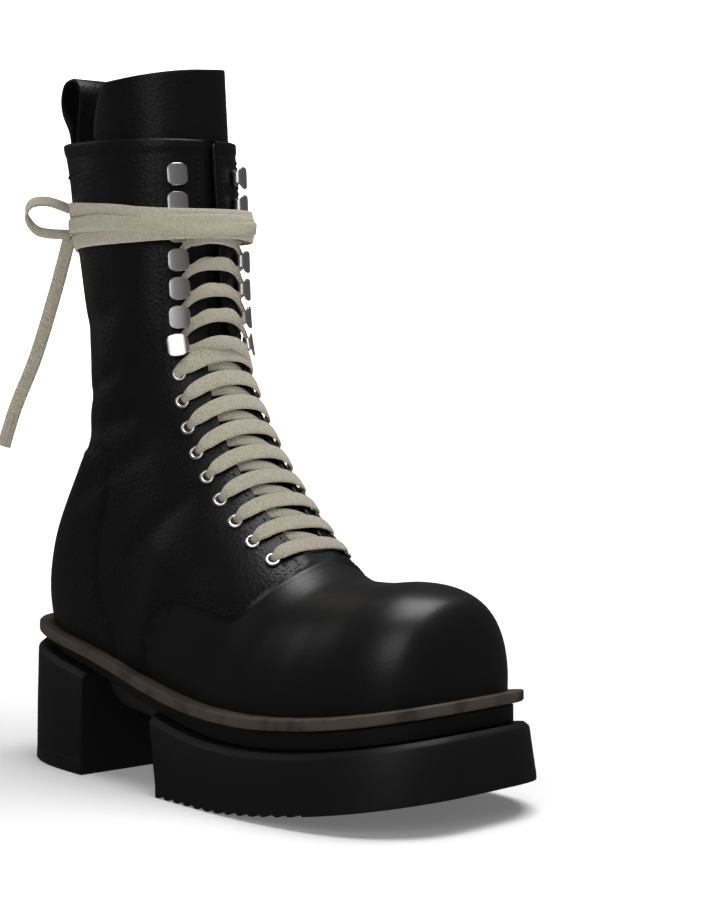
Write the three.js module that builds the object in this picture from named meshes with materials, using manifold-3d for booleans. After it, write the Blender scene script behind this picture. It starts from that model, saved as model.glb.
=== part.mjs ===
// A lace-up combat boot for the right foot, with a round bulbous toe, a platform sole in two blocks
// and a zip on the inner side. Millimetres, +Z up, the toe towards +X and the outer side towards -Y.
import * as THREE from "three";
import { mergeVertices } from "three/addons/utils/BufferGeometryUtils.js";
import Module from "manifold-3d";

const wasm = await Module();
wasm.setup();

// Last and shaft
const lastLength = 293; // heel to toe along the upper
const ballWidth = 107; // upper across the ball
const collarHeight = 333; // floor to the collar's edge
const wall = 2.2; // leather and lining
const quarterRaise = 1.1; // quarters over the vamp
const counterRaise = 1.0; // heel counter over the quarters
const collarRaise = 1.2; // folded edge of the collar
const collarBand = 5; // height of that edge
const clearance = 0.3; // between pieces that meet

// Sole
const heelStack = 77; // floor to the upper at the heel
const ballStack = 49; // floor to the upper at the ball
const toeSpring = 12; // how far the toe lifts
const treadSpring = 15; // how far the tread lifts off the floor at the toe
const weltThickness = 6;
const weltOverhang = 8;
const weltHeelShelf = 4; // added to the overhang behind the heel
const midsoleThickness = 9.5; // at the ball, thinner in the arch and at the heel
const midsoleOverhang = 3;
const blockOverhang = 11; // top edge of the outsole blocks beyond the upper
const blockFlare = 3.5; // added to it at the floor
const heelFlare = 1.5; // the same for the heel
const blockChamfer = 2.8; // along the top edge of the blocks
const insoleThickness = 3;
const heelBreast = 68; // from the back of the upper to the front of the heel
const heelBreastSlant = 12; // the inner side of the heel reaches this much further
const forefootStart = 126; // from the back of the upper to the forefoot block, at its top
const forefootUndercut = 13; // its rear face leans forward by this much
const grooveDepth = 2.4; // tread
const groovePitch = 8.4;
const grooveCount = 13;

// Fastening
const eyestayWidth = 16; // from the throat's edge to the row of eyelets
const fastenerPitch = 14.8;
const firstFastener = 17.5; // below the collar
const hookRows = 7;
const bareHooks = 2; // top rows that the lace leaves out
const eyeletRows = 9;
const hookWidth = 11.5; // along the eyestay
const hookLength = 11; // across it
const hookHeight = 5.4;
const hookSheet = 1.1;
const eyeletOuter = 4;
const eyeletInner = 2.1;
const eyeletHeight = 1.5;
const laceWidth = 8;
const laceThickness = 1.4;
const tongueThickness = 2.4;
const tongueRise = 40; // above the collar
const loopWidth = 24; // pull loop
const loopRise = 39;
const loopBulge = 12; // how far it stands back
const loopAside = 3; // towards the outer side
const loopStrap = 2.4;
const zipFoot = 132; // floor to the lower end of the zip
const zipWidth = 9;
const zipTeeth = 4.6;
const zipTape = 1.2;
const sliderLength = 11;
const tabLength = 19;
const tabWidth = 6;

const leather = new THREE.MeshStandardMaterial({ color: 0x17171a, roughness: 0.42, metalness: 0 });
const tongueLeather = new THREE.MeshStandardMaterial({ color: 0x1a1a1d, roughness: 0.5, metalness: 0 });
const insoleLeather = new THREE.MeshStandardMaterial({ color: 0x2e2a26, roughness: 0.7, metalness: 0 });
const rubber = new THREE.MeshStandardMaterial({ color: 0x1e1d1e, roughness: 0.6, metalness: 0 });
const weltLeather = new THREE.MeshStandardMaterial({ color: 0x463d33, roughness: 0.65, metalness: 0 });
const metal = new THREE.MeshStandardMaterial({ color: 0xc9c6c2, roughness: 0.3, metalness: 1 });
const tape = new THREE.MeshStandardMaterial({ color: 0x101012, roughness: 0.85, metalness: 0 });
const lace = new THREE.MeshStandardMaterial({ color: 0xb5ad97, roughness: 0.85, metalness: 0 });

const { lerp, clamp } = THREE.MathUtils;
const rise = collarHeight - ballStack;

// A smooth value of a list at a running place between its items
function between(values, at) {
  const last = values.length - 1;
  const t = clamp(at, 0, last);
  const i = Math.min(Math.floor(t), last - 1);
  const f = t - i;
  const [a, b, c, d] = [-1, 0, 1, 2].map((k) => values[clamp(i + k, 0, last)]);
  return b + 0.5 * f * (c - a + f * (2 * a - 5 * b + 4 * c - d + f * (3 * (b - c) + d - a)));
}

// A smooth value of a table of [key, value] rows
function along(rows, key) {
  let i = 0;
  while (i < rows.length - 2 && key > rows[i + 1][0]) i++;
  const f = clamp((key - rows[i][0]) / (rows[i + 1][0] - rows[i][0]), 0, 1);
  return between(rows.map((r) => r[1]), i + f);
}

// The feather line, where upper and welt meet: [share of the length, share of the step from ball to heel]
const featherTable = [
  [-0.06, 1.04],
  [0.0, 1.0],
  [0.1, 0.86],
  [0.2, 0.72],
  [0.3, 0.52],
  [0.4, 0.27],
  [0.5, 0.08],
  [0.6, 0.0],
  [1.1, 0.0],
];
function spring(x) {
  return toeSpring * Math.pow(clamp((x / lastLength - 0.66) / 0.34, 0, 1.3), 1.7);
}
function feather(x) {
  return ballStack + (heelStack - ballStack) * along(featherTable, x / lastLength) + spring(x);
}

// Sections of the upper, from the toe round the instep to above the collar. fx, fz is the front of a section
// and bx, bz its back, in shares of the length and of the rise from ball to collar. outer and inner are the
// half widths and shift the sideways place, in shares of the ball width. mid is where it is widest, from back
// to front, and top and base say how square its front and back halves are.
const sections = [
  { fx: 0.997, fz: 0.06, bx: 0.99, bz: -0.06, outer: 0.13, inner: 0.13, mid: 0.45, top: 2.2, base: 3.0, shift: 0.05 },
  { fx: 1.0, fz: 0.11, bx: 0.98, bz: -0.08, outer: 0.23, inner: 0.23, mid: 0.42, top: 2.3, base: 3.2, shift: 0.045 },
  { fx: 0.994, fz: 0.16, bx: 0.96, bz: -0.1, outer: 0.32, inner: 0.32, mid: 0.4, top: 2.3, base: 3.4, shift: 0.04 },
  { fx: 0.972, fz: 0.202, bx: 0.93, bz: -0.1, outer: 0.4, inner: 0.4, mid: 0.38, top: 2.3, base: 3.4, shift: 0.03 },
  { fx: 0.93, fz: 0.222, bx: 0.89, bz: -0.1, outer: 0.455, inner: 0.455, mid: 0.37, top: 2.35, base: 3.4, shift: 0.02 },
  { fx: 0.875, fz: 0.227, bx: 0.835, bz: -0.1, outer: 0.485, inner: 0.485, mid: 0.36, top: 2.35, base: 3.4, shift: 0.01 },
  { fx: 0.805, fz: 0.22, bx: 0.765, bz: -0.1, outer: 0.495, inner: 0.49, mid: 0.37, top: 2.3, base: 3.4, shift: 0 },
  { fx: 0.735, fz: 0.225, bx: 0.68, bz: -0.1, outer: 0.49, inner: 0.475, mid: 0.4, top: 2.2, base: 3.2, shift: -0.01 },
  { fx: 0.668, fz: 0.263, bx: 0.575, bz: -0.1, outer: 0.47, inner: 0.445, mid: 0.46, top: 2.2, base: 3.0, shift: -0.02 },
  { fx: 0.6, fz: 0.33, bx: 0.45, bz: -0.09, outer: 0.443, inner: 0.41, mid: 0.52, top: 2.25, base: 3.0, shift: -0.025 },
  { fx: 0.538, fz: 0.41, bx: 0.3, bz: -0.08, outer: 0.41, inner: 0.38, mid: 0.57, top: 2.3, base: 2.9, shift: -0.03 },
  { fx: 0.488, fz: 0.492, bx: 0.17, bz: -0.06, outer: 0.38, inner: 0.36, mid: 0.6, top: 2.3, base: 2.8, shift: -0.03 },
  { fx: 0.449, fz: 0.575, bx: 0.055, bz: 0.0, outer: 0.36, inner: 0.35, mid: 0.6, top: 2.3, base: 2.6, shift: -0.03 },
  { fx: 0.425, fz: 0.65, bx: 0.02, bz: 0.16, outer: 0.35, inner: 0.345, mid: 0.56, top: 2.3, base: 2.35, shift: -0.03 },
  { fx: 0.41, fz: 0.725, bx: 0.13, bz: 0.36, outer: 0.345, inner: 0.34, mid: 0.52, top: 2.3, base: 2.25, shift: -0.03 },
  { fx: 0.402, fz: 0.81, bx: 0.15, bz: 0.56, outer: 0.35, inner: 0.345, mid: 0.5, top: 2.3, base: 2.25, shift: -0.025 },
  { fx: 0.396, fz: 0.905, bx: 0.115, bz: 0.77, outer: 0.358, inner: 0.352, mid: 0.5, top: 2.35, base: 2.25, shift: -0.02 },
  { fx: 0.39, fz: 1.0, bx: 0.075, bz: 1.0, outer: 0.368, inner: 0.36, mid: 0.5, top: 2.4, base: 2.3, shift: -0.02 },
  { fx: 0.384, fz: 1.1, bx: 0.05, bz: 1.1, outer: 0.373, inner: 0.365, mid: 0.5, top: 2.4, base: 2.3, shift: -0.02 },
  { fx: 0.378, fz: 1.2, bx: 0.03, bz: 1.2, outer: 0.378, inner: 0.37, mid: 0.5, top: 2.4, base: 2.3, shift: -0.02 },
];
const collarRow = 17;
const lastRow = sections.length - 1;
const columns = Object.fromEntries(Object.keys(sections[0]).map((k) => [k, sections.map((s) => s[k])]));

// A point of the upper. row runs along the sections; turn goes round from the front by the outer side
// (a quarter) and the back (a half) to the inner side (three quarters).
function bare(row, turn) {
  const get = (k) => between(columns[k], row);
  const angle = turn * 2 * Math.PI;
  const [c, s] = [Math.cos(angle), Math.sin(angle)];
  const power = 2 / (c > 0 ? get("top") : get("base"));
  const mid = get("mid");
  const share = mid + (c > 0 ? 1 - mid : mid) * Math.sign(c) * Math.pow(Math.abs(c), power);
  const half = s > 0 ? get("outer") : get("inner");
  const side = get("shift") - half * Math.sign(s) * Math.pow(Math.abs(s), power);
  const x = lerp(get("bx"), get("fx"), share) * lastLength;
  const z = ballStack + lerp(get("bz"), get("fz"), share) * rise;
  return new THREE.Vector3(x, side * ballWidth, z);
}

function normalAt(row, turn) {
  const du = bare(Math.min(row + 0.02, lastRow), turn).sub(bare(Math.max(row - 0.02, 0), turn));
  const dv = bare(row, turn + 0.004).sub(bare(row, turn - 0.004));
  return du.cross(dv).normalize();
}

// The surface moved outwards
function skin(row, turn, out = 0) {
  return bare(row, turn).addScaledVector(normalAt(row, turn), out);
}

// The turn at a distance from the front line, measured round the surface; side is 1 outside, -1 inside
function turnAt(row, distance, side) {
  const step = 0.004;
  let turn = 0;
  let gone = 0;
  let from = bare(row, 0);
  while (gone < distance && Math.abs(turn) < 0.5) {
    turn += side * step;
    const to = bare(row, turn);
    gone += to.distanceTo(from);
    from = to;
  }
  return turn;
}

// The place on a side of the upper above a point of the side view: { row, turn }
function sideAt(x, z, side) {
  const line = (row) => {
    const get = (k) => between(columns[k], row);
    const back = new THREE.Vector2(get("bx") * lastLength, ballStack + get("bz") * rise);
    const front = new THREE.Vector2(get("fx") * lastLength, ballStack + get("fz") * rise);
    const chord = front.sub(back);
    const to = new THREE.Vector2(x, z).sub(back);
    return { over: chord.cross(to), share: to.dot(chord) / chord.lengthSq() };
  };
  let [low, high] = [0, lastRow];
  for (let i = 0; i < 30; i++) {
    const middle = (low + high) / 2;
    if (line(middle).over > 0) low = middle;
    else high = middle;
  }
  const row = (low + high) / 2;
  const mid = between(columns.mid, row);
  const share = clamp(line(row).share, 0, 1);
  const reach = share > mid ? (share - mid) / (1 - mid) : (share - mid) / mid;
  const power = between(share > mid ? columns.top : columns.base, row) / 2;
  const angle = Math.acos(Math.sign(reach) * Math.pow(Math.abs(reach), power));
  return { row, turn: (side * angle) / (2 * Math.PI) };
}

// Triangles between rings of points, each ring closed; capped by fans, or joined end to end
function loft(rings, joined = false) {
  const count = rings[0].length;
  const positions = rings.flat().flatMap((p) => [p.x, p.y, p.z]);
  const index = [];
  const spans = joined ? rings.length : rings.length - 1;
  for (let i = 0; i < spans; i++)
    for (let j = 0; j < count; j++) {
      const a = i * count + j;
      const b = i * count + ((j + 1) % count);
      const above = ((i + 1) % rings.length) * count;
      index.push(a, b, above + j, b, above + ((j + 1) % count), above + j);
    }
  for (const from of joined ? [] : [0, (rings.length - 1) * count]) {
    const ring = from ? rings.at(-1) : rings[0];
    const centre = ring.reduce((sum, p) => sum.add(p), new THREE.Vector3()).divideScalar(count);
    const apex = positions.length / 3;
    positions.push(centre.x, centre.y, centre.z);
    for (let j = 0; j < count; j++) {
      const [a, b] = [from + j, from + ((j + 1) % count)];
      index.push(...(from ? [apex, a, b] : [apex, b, a]));
    }
  }
  return closedGeometry(positions, index);
}

function closedGeometry(positions, index) {
  const geometry = new THREE.BufferGeometry();
  geometry.setAttribute("position", new THREE.Float32BufferAttribute(positions, 3));
  geometry.setIndex(index);
  return geometry;
}

// A solid of a closed geometry, turned outwards
function solid(geometry) {
  const plain = geometry.clone();
  for (const name of Object.keys(plain.attributes)) if (name !== "position") plain.deleteAttribute(name);
  const merged = mergeVertices(plain, 1e-4);
  const triVerts = new Uint32Array(merged.index.array);
  const vertProperties = new Float32Array(merged.attributes.position.array);
  const make = () => new wasm.Manifold(new wasm.Mesh({ numProp: 3, vertProperties, triVerts }));
  const first = make();
  if (first.volume() > 0) return first;
  for (let i = 0; i < triVerts.length; i += 3)
    [triVerts[i + 1], triVerts[i + 2]] = [triVerts[i + 2], triVerts[i + 1]];
  return make();
}

const boot = new THREE.Group();
boot.name = "combat_boot";

function addPiece(name, made, material) {
  const out = made.getMesh();
  const mesh = new THREE.Mesh(closedGeometry([...out.vertProperties], [...out.triVerts]), material);
  mesh.name = name;
  boot.add(mesh);
  return mesh;
}

// Rings of the upper's surface, moved out, between two rows
function skinRings(out, fromRow, toRow, rings, around) {
  return Array.from({ length: rings + 1 }, (_, i) =>
    Array.from({ length: around }, (_, j) => skin(lerp(fromRow, toRow, i / rings), j / around, out)),
  );
}

// A prism right across the boot from an outline of [x, z] corners in the side view
function sidePrism(outline) {
  const shape = new THREE.Shape(outline.map(([x, z]) => new THREE.Vector2(x, z)));
  const geometry = new THREE.ExtrudeGeometry(shape, { depth: 2 * ballWidth, bevelEnabled: false });
  geometry.rotateX(Math.PI / 2);
  geometry.translate(0, ballWidth, 0);
  return solid(geometry);
}

// A prism that stands on an outline of [x, y] corners in plan
function planPrism(outline) {
  const shape = new THREE.Shape(outline.map(([x, y]) => new THREE.Vector2(x, y)));
  const geometry = new THREE.ExtrudeGeometry(shape, { depth: 2 * heelStack, bevelEnabled: false });
  geometry.translate(0, 0, -heelStack / 2);
  return solid(geometry);
}

// A strip on the surface: stations of { row, turn } for its middle line, its width, and how far its two
// faces stand out; widths and heights may be functions of the station's share
function strip(stations, width, low, high, joined = false) {
  const value = (v, t) => (typeof v === "function" ? v(t) : v);
  const middle = stations.map((s) => bare(s.row, s.turn));
  const rings = stations.map((s, i) => {
    const t = i / (stations.length - 1);
    const [before, after] = joined
      ? [middle.at(i - 1), middle[(i + 1) % middle.length]]
      : [middle[Math.max(i - 1, 0)], middle[Math.min(i + 1, middle.length - 1)]];
    const normal = normalAt(s.row, s.turn);
    const across = after.clone().sub(before).cross(normal).normalize();
    const corner = (side, out) =>
      middle[i]
        .clone()
        .addScaledVector(across, (side * value(width, t)) / 2)
        .addScaledVector(normal, out);
    return [corner(-1, value(low, t)), corner(1, value(low, t)), corner(1, value(high, t)), corner(-1, value(high, t))];
  });
  return solid(loft(rings, joined));
}

// The outline of the upper along the feather line: half of the points go by the outer side to the heel and
// half come back by the inner side, so point i lies across from point outlinePoints - i
const outlinePoints = 56;
function featherOutline() {
  const crossing = (row, side) => {
    let before = null;
    for (let k = 0; k <= 100; k++) {
      const p = bare(row, (side * k) / 200);
      const height = p.z - feather(p.x);
      if (before && before.height > 0 && height <= 0)
        return before.p.lerp(p, before.height / (before.height - height));
      before = { p, height };
    }
    return null;
  };
  const rows = Array.from({ length: 261 }, (_, i) => (i / 260) * 13.5);
  const outer = rows.map((row) => crossing(row, 1)).filter(Boolean);
  const inner = rows.map((row) => crossing(row, -1)).filter(Boolean);
  const spread = (points) => {
    const path = new THREE.CatmullRomCurve3(points.map((p) => new THREE.Vector3(p.x, p.y, 0)));
    return path.getSpacedPoints(outlinePoints / 2);
  };
  const tip = outer[0].clone().lerp(inner[0], 0.5);
  const heel = outer.at(-1).clone().lerp(inner.at(-1), 0.5);
  const there = spread([tip, ...outer, heel]);
  const back = spread([tip, ...inner, heel]).reverse();
  return [...there, ...back.slice(1, -1)];
}
const outline = featherOutline();
const outwards = outline.map((p, i) => {
  const sum = new THREE.Vector3();
  for (const reach of [1, 2, 3])
    sum.add(outline[(i + reach) % outlinePoints].clone().sub(outline.at(i - reach)).normalize());
  return new THREE.Vector3(-sum.y, sum.x, 0).normalize().multiplyScalar(-1);
});
if (outwards[0].x < 0) for (const n of outwards) n.negate();

// A layer under the boot from rings of { out, z }: the outline moved out, at heights that follow x
function slab(rings) {
  const at = rings.map(({ out, z }) =>
    outline.map((p, i) => {
      const q = p.clone().addScaledVector(outwards[i], typeof out === "function" ? out(p.x) : out);
      q.z = z(q.x);
      return q;
    }),
  );
  const positions = at.flat().flatMap((p) => [p.x, p.y, p.z]);
  const index = [];
  const n = outlinePoints;
  for (let k = 0; k < at.length - 1; k++)
    for (let i = 0; i < n; i++) {
      const [a, b] = [k * n + i, k * n + ((i + 1) % n)];
      index.push(a, b, a + n, b, b + n, a + n);
    }
  for (const base of [0, (at.length - 1) * n]) {
    const flip = base > 0;
    const push = (a, b, c) => index.push(base + a, base + (flip ? b : c), base + (flip ? c : b));
    push(0, 1, n - 1);
    for (let i = 1; i < n / 2 - 1; i++) {
      push(i, i + 1, n - i);
      push(i + 1, n - i - 1, n - i);
    }
    push(n / 2 - 1, n / 2, n / 2 + 1);
  }
  return solid(closedGeometry(positions, index));
}

// Upper: the skin less its inside, with raised quarters, counter and collar edge, open at the throat
// and underneath
const vampSeam = [
  [0.668, 0.263],
  [0.687, 0.235],
  [0.628, 0.159],
  [0.563, 0.162],
  [0.467, 0.169],
  [0.418, 0.139],
  [0.403, 0.088],
  [0.386, 0.0],
];
const counterSeam = [
  [0.3, 0.0],
  [0.285, 0.104],
  [0.255, 0.144],
  [0.241, 0.2],
  [0.25, 0.288],
  [0.27, 0.359],
  [0.265, 0.4],
  [0.225, 0.428],
  [0.1, 0.425],
];
const sideView = ([x, z]) => [x * lastLength, ballStack + z * rise];

// Half the width between the throat's edges and the row of fasteners, by row: [row, distance from the front]
const eyestayTable = [
  [7.9, 25],
  [8.3, 27.5],
  [8.8, 30],
  [9.5, 32],
  [10.5, 33],
  [11.5, 32],
  [12.3, 29],
  [13, 25.5],
  [14, 22.5],
  [15, 22],
  [16, 21],
  [17, 20.5],
];
const eyestayLine = (row) => along(eyestayTable, row);
const throatFoot = 8.02;

const upperTurns = 28; // facets round the upper
function makeUpper() {
  const outer = solid(loft(skinRings(0, 0, collarRow, 25, upperTurns)));
  const quarter = solid(loft(skinRings(quarterRaise, 5.5, collarRow, 17, upperTurns))).intersect(
    sidePrism([...vampSeam.map(sideView), [-lastLength, ballStack], [-lastLength, 2 * collarHeight],
      [lastLength / 2, 2 * collarHeight], sideView([0.6, 0.36])]),
  );
  const counterOut = quarterRaise + counterRaise;
  const counter = solid(loft(skinRings(counterOut, 9.5, 15.5, 10, upperTurns))).intersect(
    sidePrism([...counterSeam.map(sideView), sideView([-0.3, 0.42]), sideView([-0.3, 0])]),
  );
  const edgeRow = collarRow - collarBand / (rise * (sections[collarRow].fz - sections[collarRow - 1].fz));
  const edge = solid(loft(skinRings(quarterRaise + collarRaise, edgeRow, collarRow, 1, upperTurns)));
  const inside = skinRings(-wall, 0, lastRow, 24, 28);
  for (const p of inside.flat()) p.x = Math.min(p.x, lastLength - wall);
  const hollow = solid(loft(inside));
  const floor = Array.from({ length: 25 }, (_, i) => {
    const x = lerp(-0.1, 1.1, i / 24) * lastLength;
    return [x, feather(x)];
  });
  const below = sidePrism([...floor, [1.1 * lastLength, -heelStack], [-0.1 * lastLength, -heelStack]]);
  const throat = [...Array(15).keys()].map((i) => ({ row: lerp(throatFoot, lastRow, i / 14), turn: 0 }));
  const gap = (t) => 2 * (eyestayLine(lerp(throatFoot, lastRow, t)) - eyestayWidth);
  const cut = strip(throat, gap, -6 * wall, 6 * wall);
  return outer.add(quarter).add(counter).add(edge).subtract(hollow).subtract(below).subtract(cut).subtract(zipPrism(zipWidth, zipFoot, 2 * collarHeight));
}

// The zip's line on the inner side: [share of the rise, share of the length]
const zipTable = [
  [0.25, 0.25],
  [0.4, 0.2],
  [0.55, 0.178],
  [0.75, 0.17],
  [1.1, 0.165],
];
const zipAt = (z) => sideAt(along(zipTable, (z - ballStack) / rise) * lastLength, z, -1);
const zipStations = (from, to) => Array.from({ length: 17 }, (_, i) => zipAt(lerp(from, to, i / 16)));

// A prism through the inner side along the zip's line
function zipPrism(width, from, to) {
  const edge = (side) =>
    Array.from({ length: 17 }, (_, i) => {
      const z = lerp(zipFoot - 1, collarHeight + loopRise, i / 16);
      return [along(zipTable, (z - ballStack) / rise) * lastLength + (side * width) / 2, z];
    });
  const whole = sidePrism([...edge(-1), ...edge(1).reverse()]).trimByPlane([0, 1, 0], 0);
  return whole.trimByPlane([0, 0, 1], from).trimByPlane([0, 0, -1], -to);
}

// A sheet that follows the shaft between two distances from its surface
function shaftSheet(low, high) {
  const form = (out) => solid(loft(skinRings(out, 10, collarRow + 0.6, 16, upperTurns)));
  return form(high).subtract(form(low));
}

addPiece("upper", makeUpper(), leather);

// Insole, inside the upper on top of the welt
addPiece(
  "insole",
  slab([
    { out: -(wall + 2), z: (x) => feather(x) + insoleThickness },
    { out: -(wall + 2), z: (x) => feather(x) + clearance },
  ]),
  insoleLeather,
);

// Welt, the midsole that fills it and shows as a recess beneath, and the two outsole blocks
const weltOut = (x) => weltOverhang + weltHeelShelf * clamp(1 - x / (0.12 * lastLength), 0, 1);
const weltTop = (x) => feather(x) - clearance;
const weltBottom = (x) => weltTop(x) - weltThickness;
const weltInside = -6;
const welt = slab([
  { out: (x) => weltOut(x) - 0.8, z: weltTop },
  { out: weltOut, z: (x) => weltTop(x) - 0.8 },
  { out: weltOut, z: (x) => weltBottom(x) + 0.8 },
  { out: (x) => weltOut(x) - 0.8, z: weltBottom },
]).subtract(
  slab([
    { out: weltInside, z: (x) => weltTop(x) + weltThickness },
    { out: weltInside, z: (x) => weltBottom(x) - weltThickness },
  ]),
);
addPiece("welt", welt, weltLeather);

// The midsole's thickness: [share of the length, share of its thickness at the ball]
const midsoleTable = [
  [-0.06, 0.5],
  [0.1, 0.6],
  [0.25, 0.75],
  [0.42, 0.8],
  [0.6, 1.0],
  [1.1, 1.0],
];
const midsoleTop = (x) => weltBottom(x) - clearance;
const midsoleBottom = (x) => midsoleTop(x) - midsoleThickness * along(midsoleTable, x / lastLength);
const midsole = slab([
  { out: midsoleOverhang, z: midsoleTop },
  { out: midsoleOverhang, z: midsoleBottom },
]).add(
  slab([
    { out: weltInside - clearance, z: weltTop },
    { out: weltInside - clearance, z: midsoleBottom },
  ]),
);
addPiece("midsole", midsole, rubber);

const blockTop = (x) => midsoleBottom(x) - clearance;
function block(bottom, flare) {
  return slab([
    { out: blockOverhang - blockChamfer, z: blockTop },
    { out: blockOverhang, z: (x) => blockTop(x) - blockChamfer },
    { out: blockOverhang + flare, z: bottom },
  ]);
}

function makeForefoot() {
  const ground = (x) => treadSpring * Math.pow(clamp((x / lastLength - 0.6) / 0.4, 0, 1.3), 1.5);
  const far = 2 * lastLength;
  const rear = [
    [forefootStart, 2 * heelStack],
    [forefootStart, ballStack],
    [forefootStart + forefootUndercut, 0],
    [forefootStart + forefootUndercut, -heelStack],
  ];
  let made = block(ground, blockFlare).intersect(sidePrism([...rear, [far, -heelStack], [far, 2 * heelStack]]));
  for (let i = 0; i < grooveCount; i++) {
    const x = forefootStart + forefootUndercut + (i + 0.6) * groovePitch;
    const half = 0.3 * groovePitch;
    made = made.subtract(sidePrism([[x - half, -1], [x + half, -1], [x + half, 0], [x, grooveDepth], [x - half, 0]]));
  }
  return made;
}
addPiece("outsole_forefoot", makeForefoot(), rubber);

const heelPlan = [
  [-lastLength, -ballWidth],
  [heelBreast - heelBreastSlant / 2, -ballWidth],
  [heelBreast + heelBreastSlant, ballWidth],
  [-lastLength, ballWidth],
];
addPiece("heel_block", block(() => 0, heelFlare).intersect(planPrism(heelPlan)), rubber);

// Tongue: a wide strip behind the throat, above the collar. [row, width on that side of the front line]
const tongueOuter = [
  [8.3, 20],
  [9, 27],
  [11, 32],
  [13, 33],
  [15, 40],
  [16, 54],
  [17, 72],
  [17.8, 70],
  [18.4, 58],
];
const tongueInner = [
  [8.3, 20],
  [9, 27],
  [11, 32],
  [13, 33],
  [15, 38],
  [16, 43],
  [17, 47],
  [18.4, 44],
];
const tongueSlant = 0.34; // rows by which its top edge falls towards the outer side
function makeTongue() {
  const high = -(wall + 2 * clearance);
  const low = high - tongueThickness;
  const around = 12;
  const rows = 15;
  const topRow = collarRow + tongueRise / (rise * (sections[lastRow].fz - sections[lastRow - 1].fz));
  const rings = Array.from({ length: rows + 1 }, (_, i) => {
    const row = lerp(tongueOuter[0][0], topRow, i / rows);
    const turns = [turnAt(row, along(tongueInner, row), -1), turnAt(row, along(tongueOuter, row), 1)];
    const slant = tongueSlant * clamp((row - collarRow) / (topRow - collarRow), 0, 1);
    const arc = (out) =>
      Array.from({ length: around + 1 }, (_, j) => {
        const t = j / around;
        return skin(row - slant * t * t, lerp(turns[0], turns[1], t), out);
      });
    return [...arc(high), ...arc(low).reverse()];
  });
  return solid(stripLoft(rings));
}

// A loft whose rings are two rows of points that lie across from each other, so its ends are bands
function stripLoft(rings) {
  const count = rings[0].length;
  const positions = rings.flat().flatMap((p) => [p.x, p.y, p.z]);
  const index = [];
  for (let i = 0; i < rings.length - 1; i++)
    for (let j = 0; j < count; j++) {
      const [a, b] = [i * count + j, i * count + ((j + 1) % count)];
      index.push(a, b, a + count, b, b + count, a + count);
    }
  for (const base of [0, (rings.length - 1) * count])
    for (let j = 0; j < count / 2 - 1; j++) {
      const [a, b, c, d] = [base + j, base + j + 1, base + count - 2 - j, base + count - 1 - j];
      index.push(...(base ? [a, b, c, a, c, d] : [a, c, b, a, d, c]));
    }
  return closedGeometry(positions, index);
}
addPiece("tongue", makeTongue(), tongueLeather);

// Where the fasteners sit: equal steps down the eyestay, hooks first
function fastenerPlaces(side) {
  const places = [];
  let row = collarRow;
  let last = skin(row, turnAt(row, eyestayLine(row), side));
  let gone = 0;
  let next = firstFastener;
  while (places.length < hookRows + eyeletRows) {
    row -= 0.01;
    const turn = turnAt(row, eyestayLine(row), side);
    const here = skin(row, turn);
    gone += here.distanceTo(last);
    last = here;
    if (gone >= next) {
      places.push({ row, turn });
      next += fastenerPitch;
    }
  }
  return places;
}

// A frame on the surface: x towards the throat, y up along the eyestay, z outwards
function frameAt({ row, turn }, side, out) {
  const normal = normalAt(row, turn);
  const up = bare(row + 0.1, turn).sub(bare(row - 0.1, turn));
  up.addScaledVector(normal, -up.dot(normal)).normalize();
  const across = up.clone().cross(normal).multiplyScalar(side);
  const frame = new THREE.Matrix4().makeBasis(across, normal.clone().cross(across), normal);
  return frame.setPosition(skin(row, turn, out));
}

// A speed hook: a foot on the leather, a neck on the throat's side and a plate folded back over it
function hookGeometry() {
  const [reach, top, sheet] = [hookLength / 2, hookHeight, hookSheet];
  const profile = new THREE.Shape();
  profile.moveTo(-reach + 2, 0);
  profile.lineTo(reach - 2, 0);
  profile.quadraticCurveTo(reach, 0, reach, top / 2);
  profile.quadraticCurveTo(reach, top, reach - 2, top);
  profile.lineTo(-reach, top - 0.5);
  profile.lineTo(-reach, top - 0.5 - sheet);
  profile.lineTo(reach - 2.6, top - sheet);
  profile.quadraticCurveTo(reach - sheet, top - sheet, reach - sheet, top / 2);
  profile.quadraticCurveTo(reach - sheet, sheet, reach - 2.6, sheet);
  profile.lineTo(-reach + 2, sheet);
  const geometry = new THREE.ExtrudeGeometry(profile, { depth: hookWidth, bevelEnabled: false, curveSegments: 2 });
  geometry.translate(0, 0, -hookWidth / 2);
  geometry.rotateX(Math.PI / 2);
  return geometry;
}

function eyeletGeometry() {
  const profile = [
    [eyeletInner, 0],
    [eyeletOuter, 0],
    [eyeletOuter - 0.6, eyeletHeight],
    [eyeletInner + 0.3, eyeletHeight],
    [eyeletInner, 0],
  ];
  const geometry = new THREE.LatheGeometry(profile.map(([r, h]) => new THREE.Vector2(r, h)), 8);
  geometry.rotateX(Math.PI / 2);
  return geometry;
}

const seat = quarterRaise + clearance;
for (const [side, sideName] of [
  [1, "outer"],
  [-1, "inner"],
]) {
  fastenerPlaces(side).forEach((place, i) => {
    const isHook = i < hookRows;
    const geometry = isHook ? hookGeometry() : eyeletGeometry();
    geometry.applyMatrix4(frameAt(place, side, seat + (isHook ? 0.35 : 0.25)));
    const number = isHook ? i + 1 : i + 1 - hookRows;
    addPiece(`${isHook ? "hook" : "eyelet"}_${sideName}_${number}`, solid(geometry), metal);
  });
}

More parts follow.
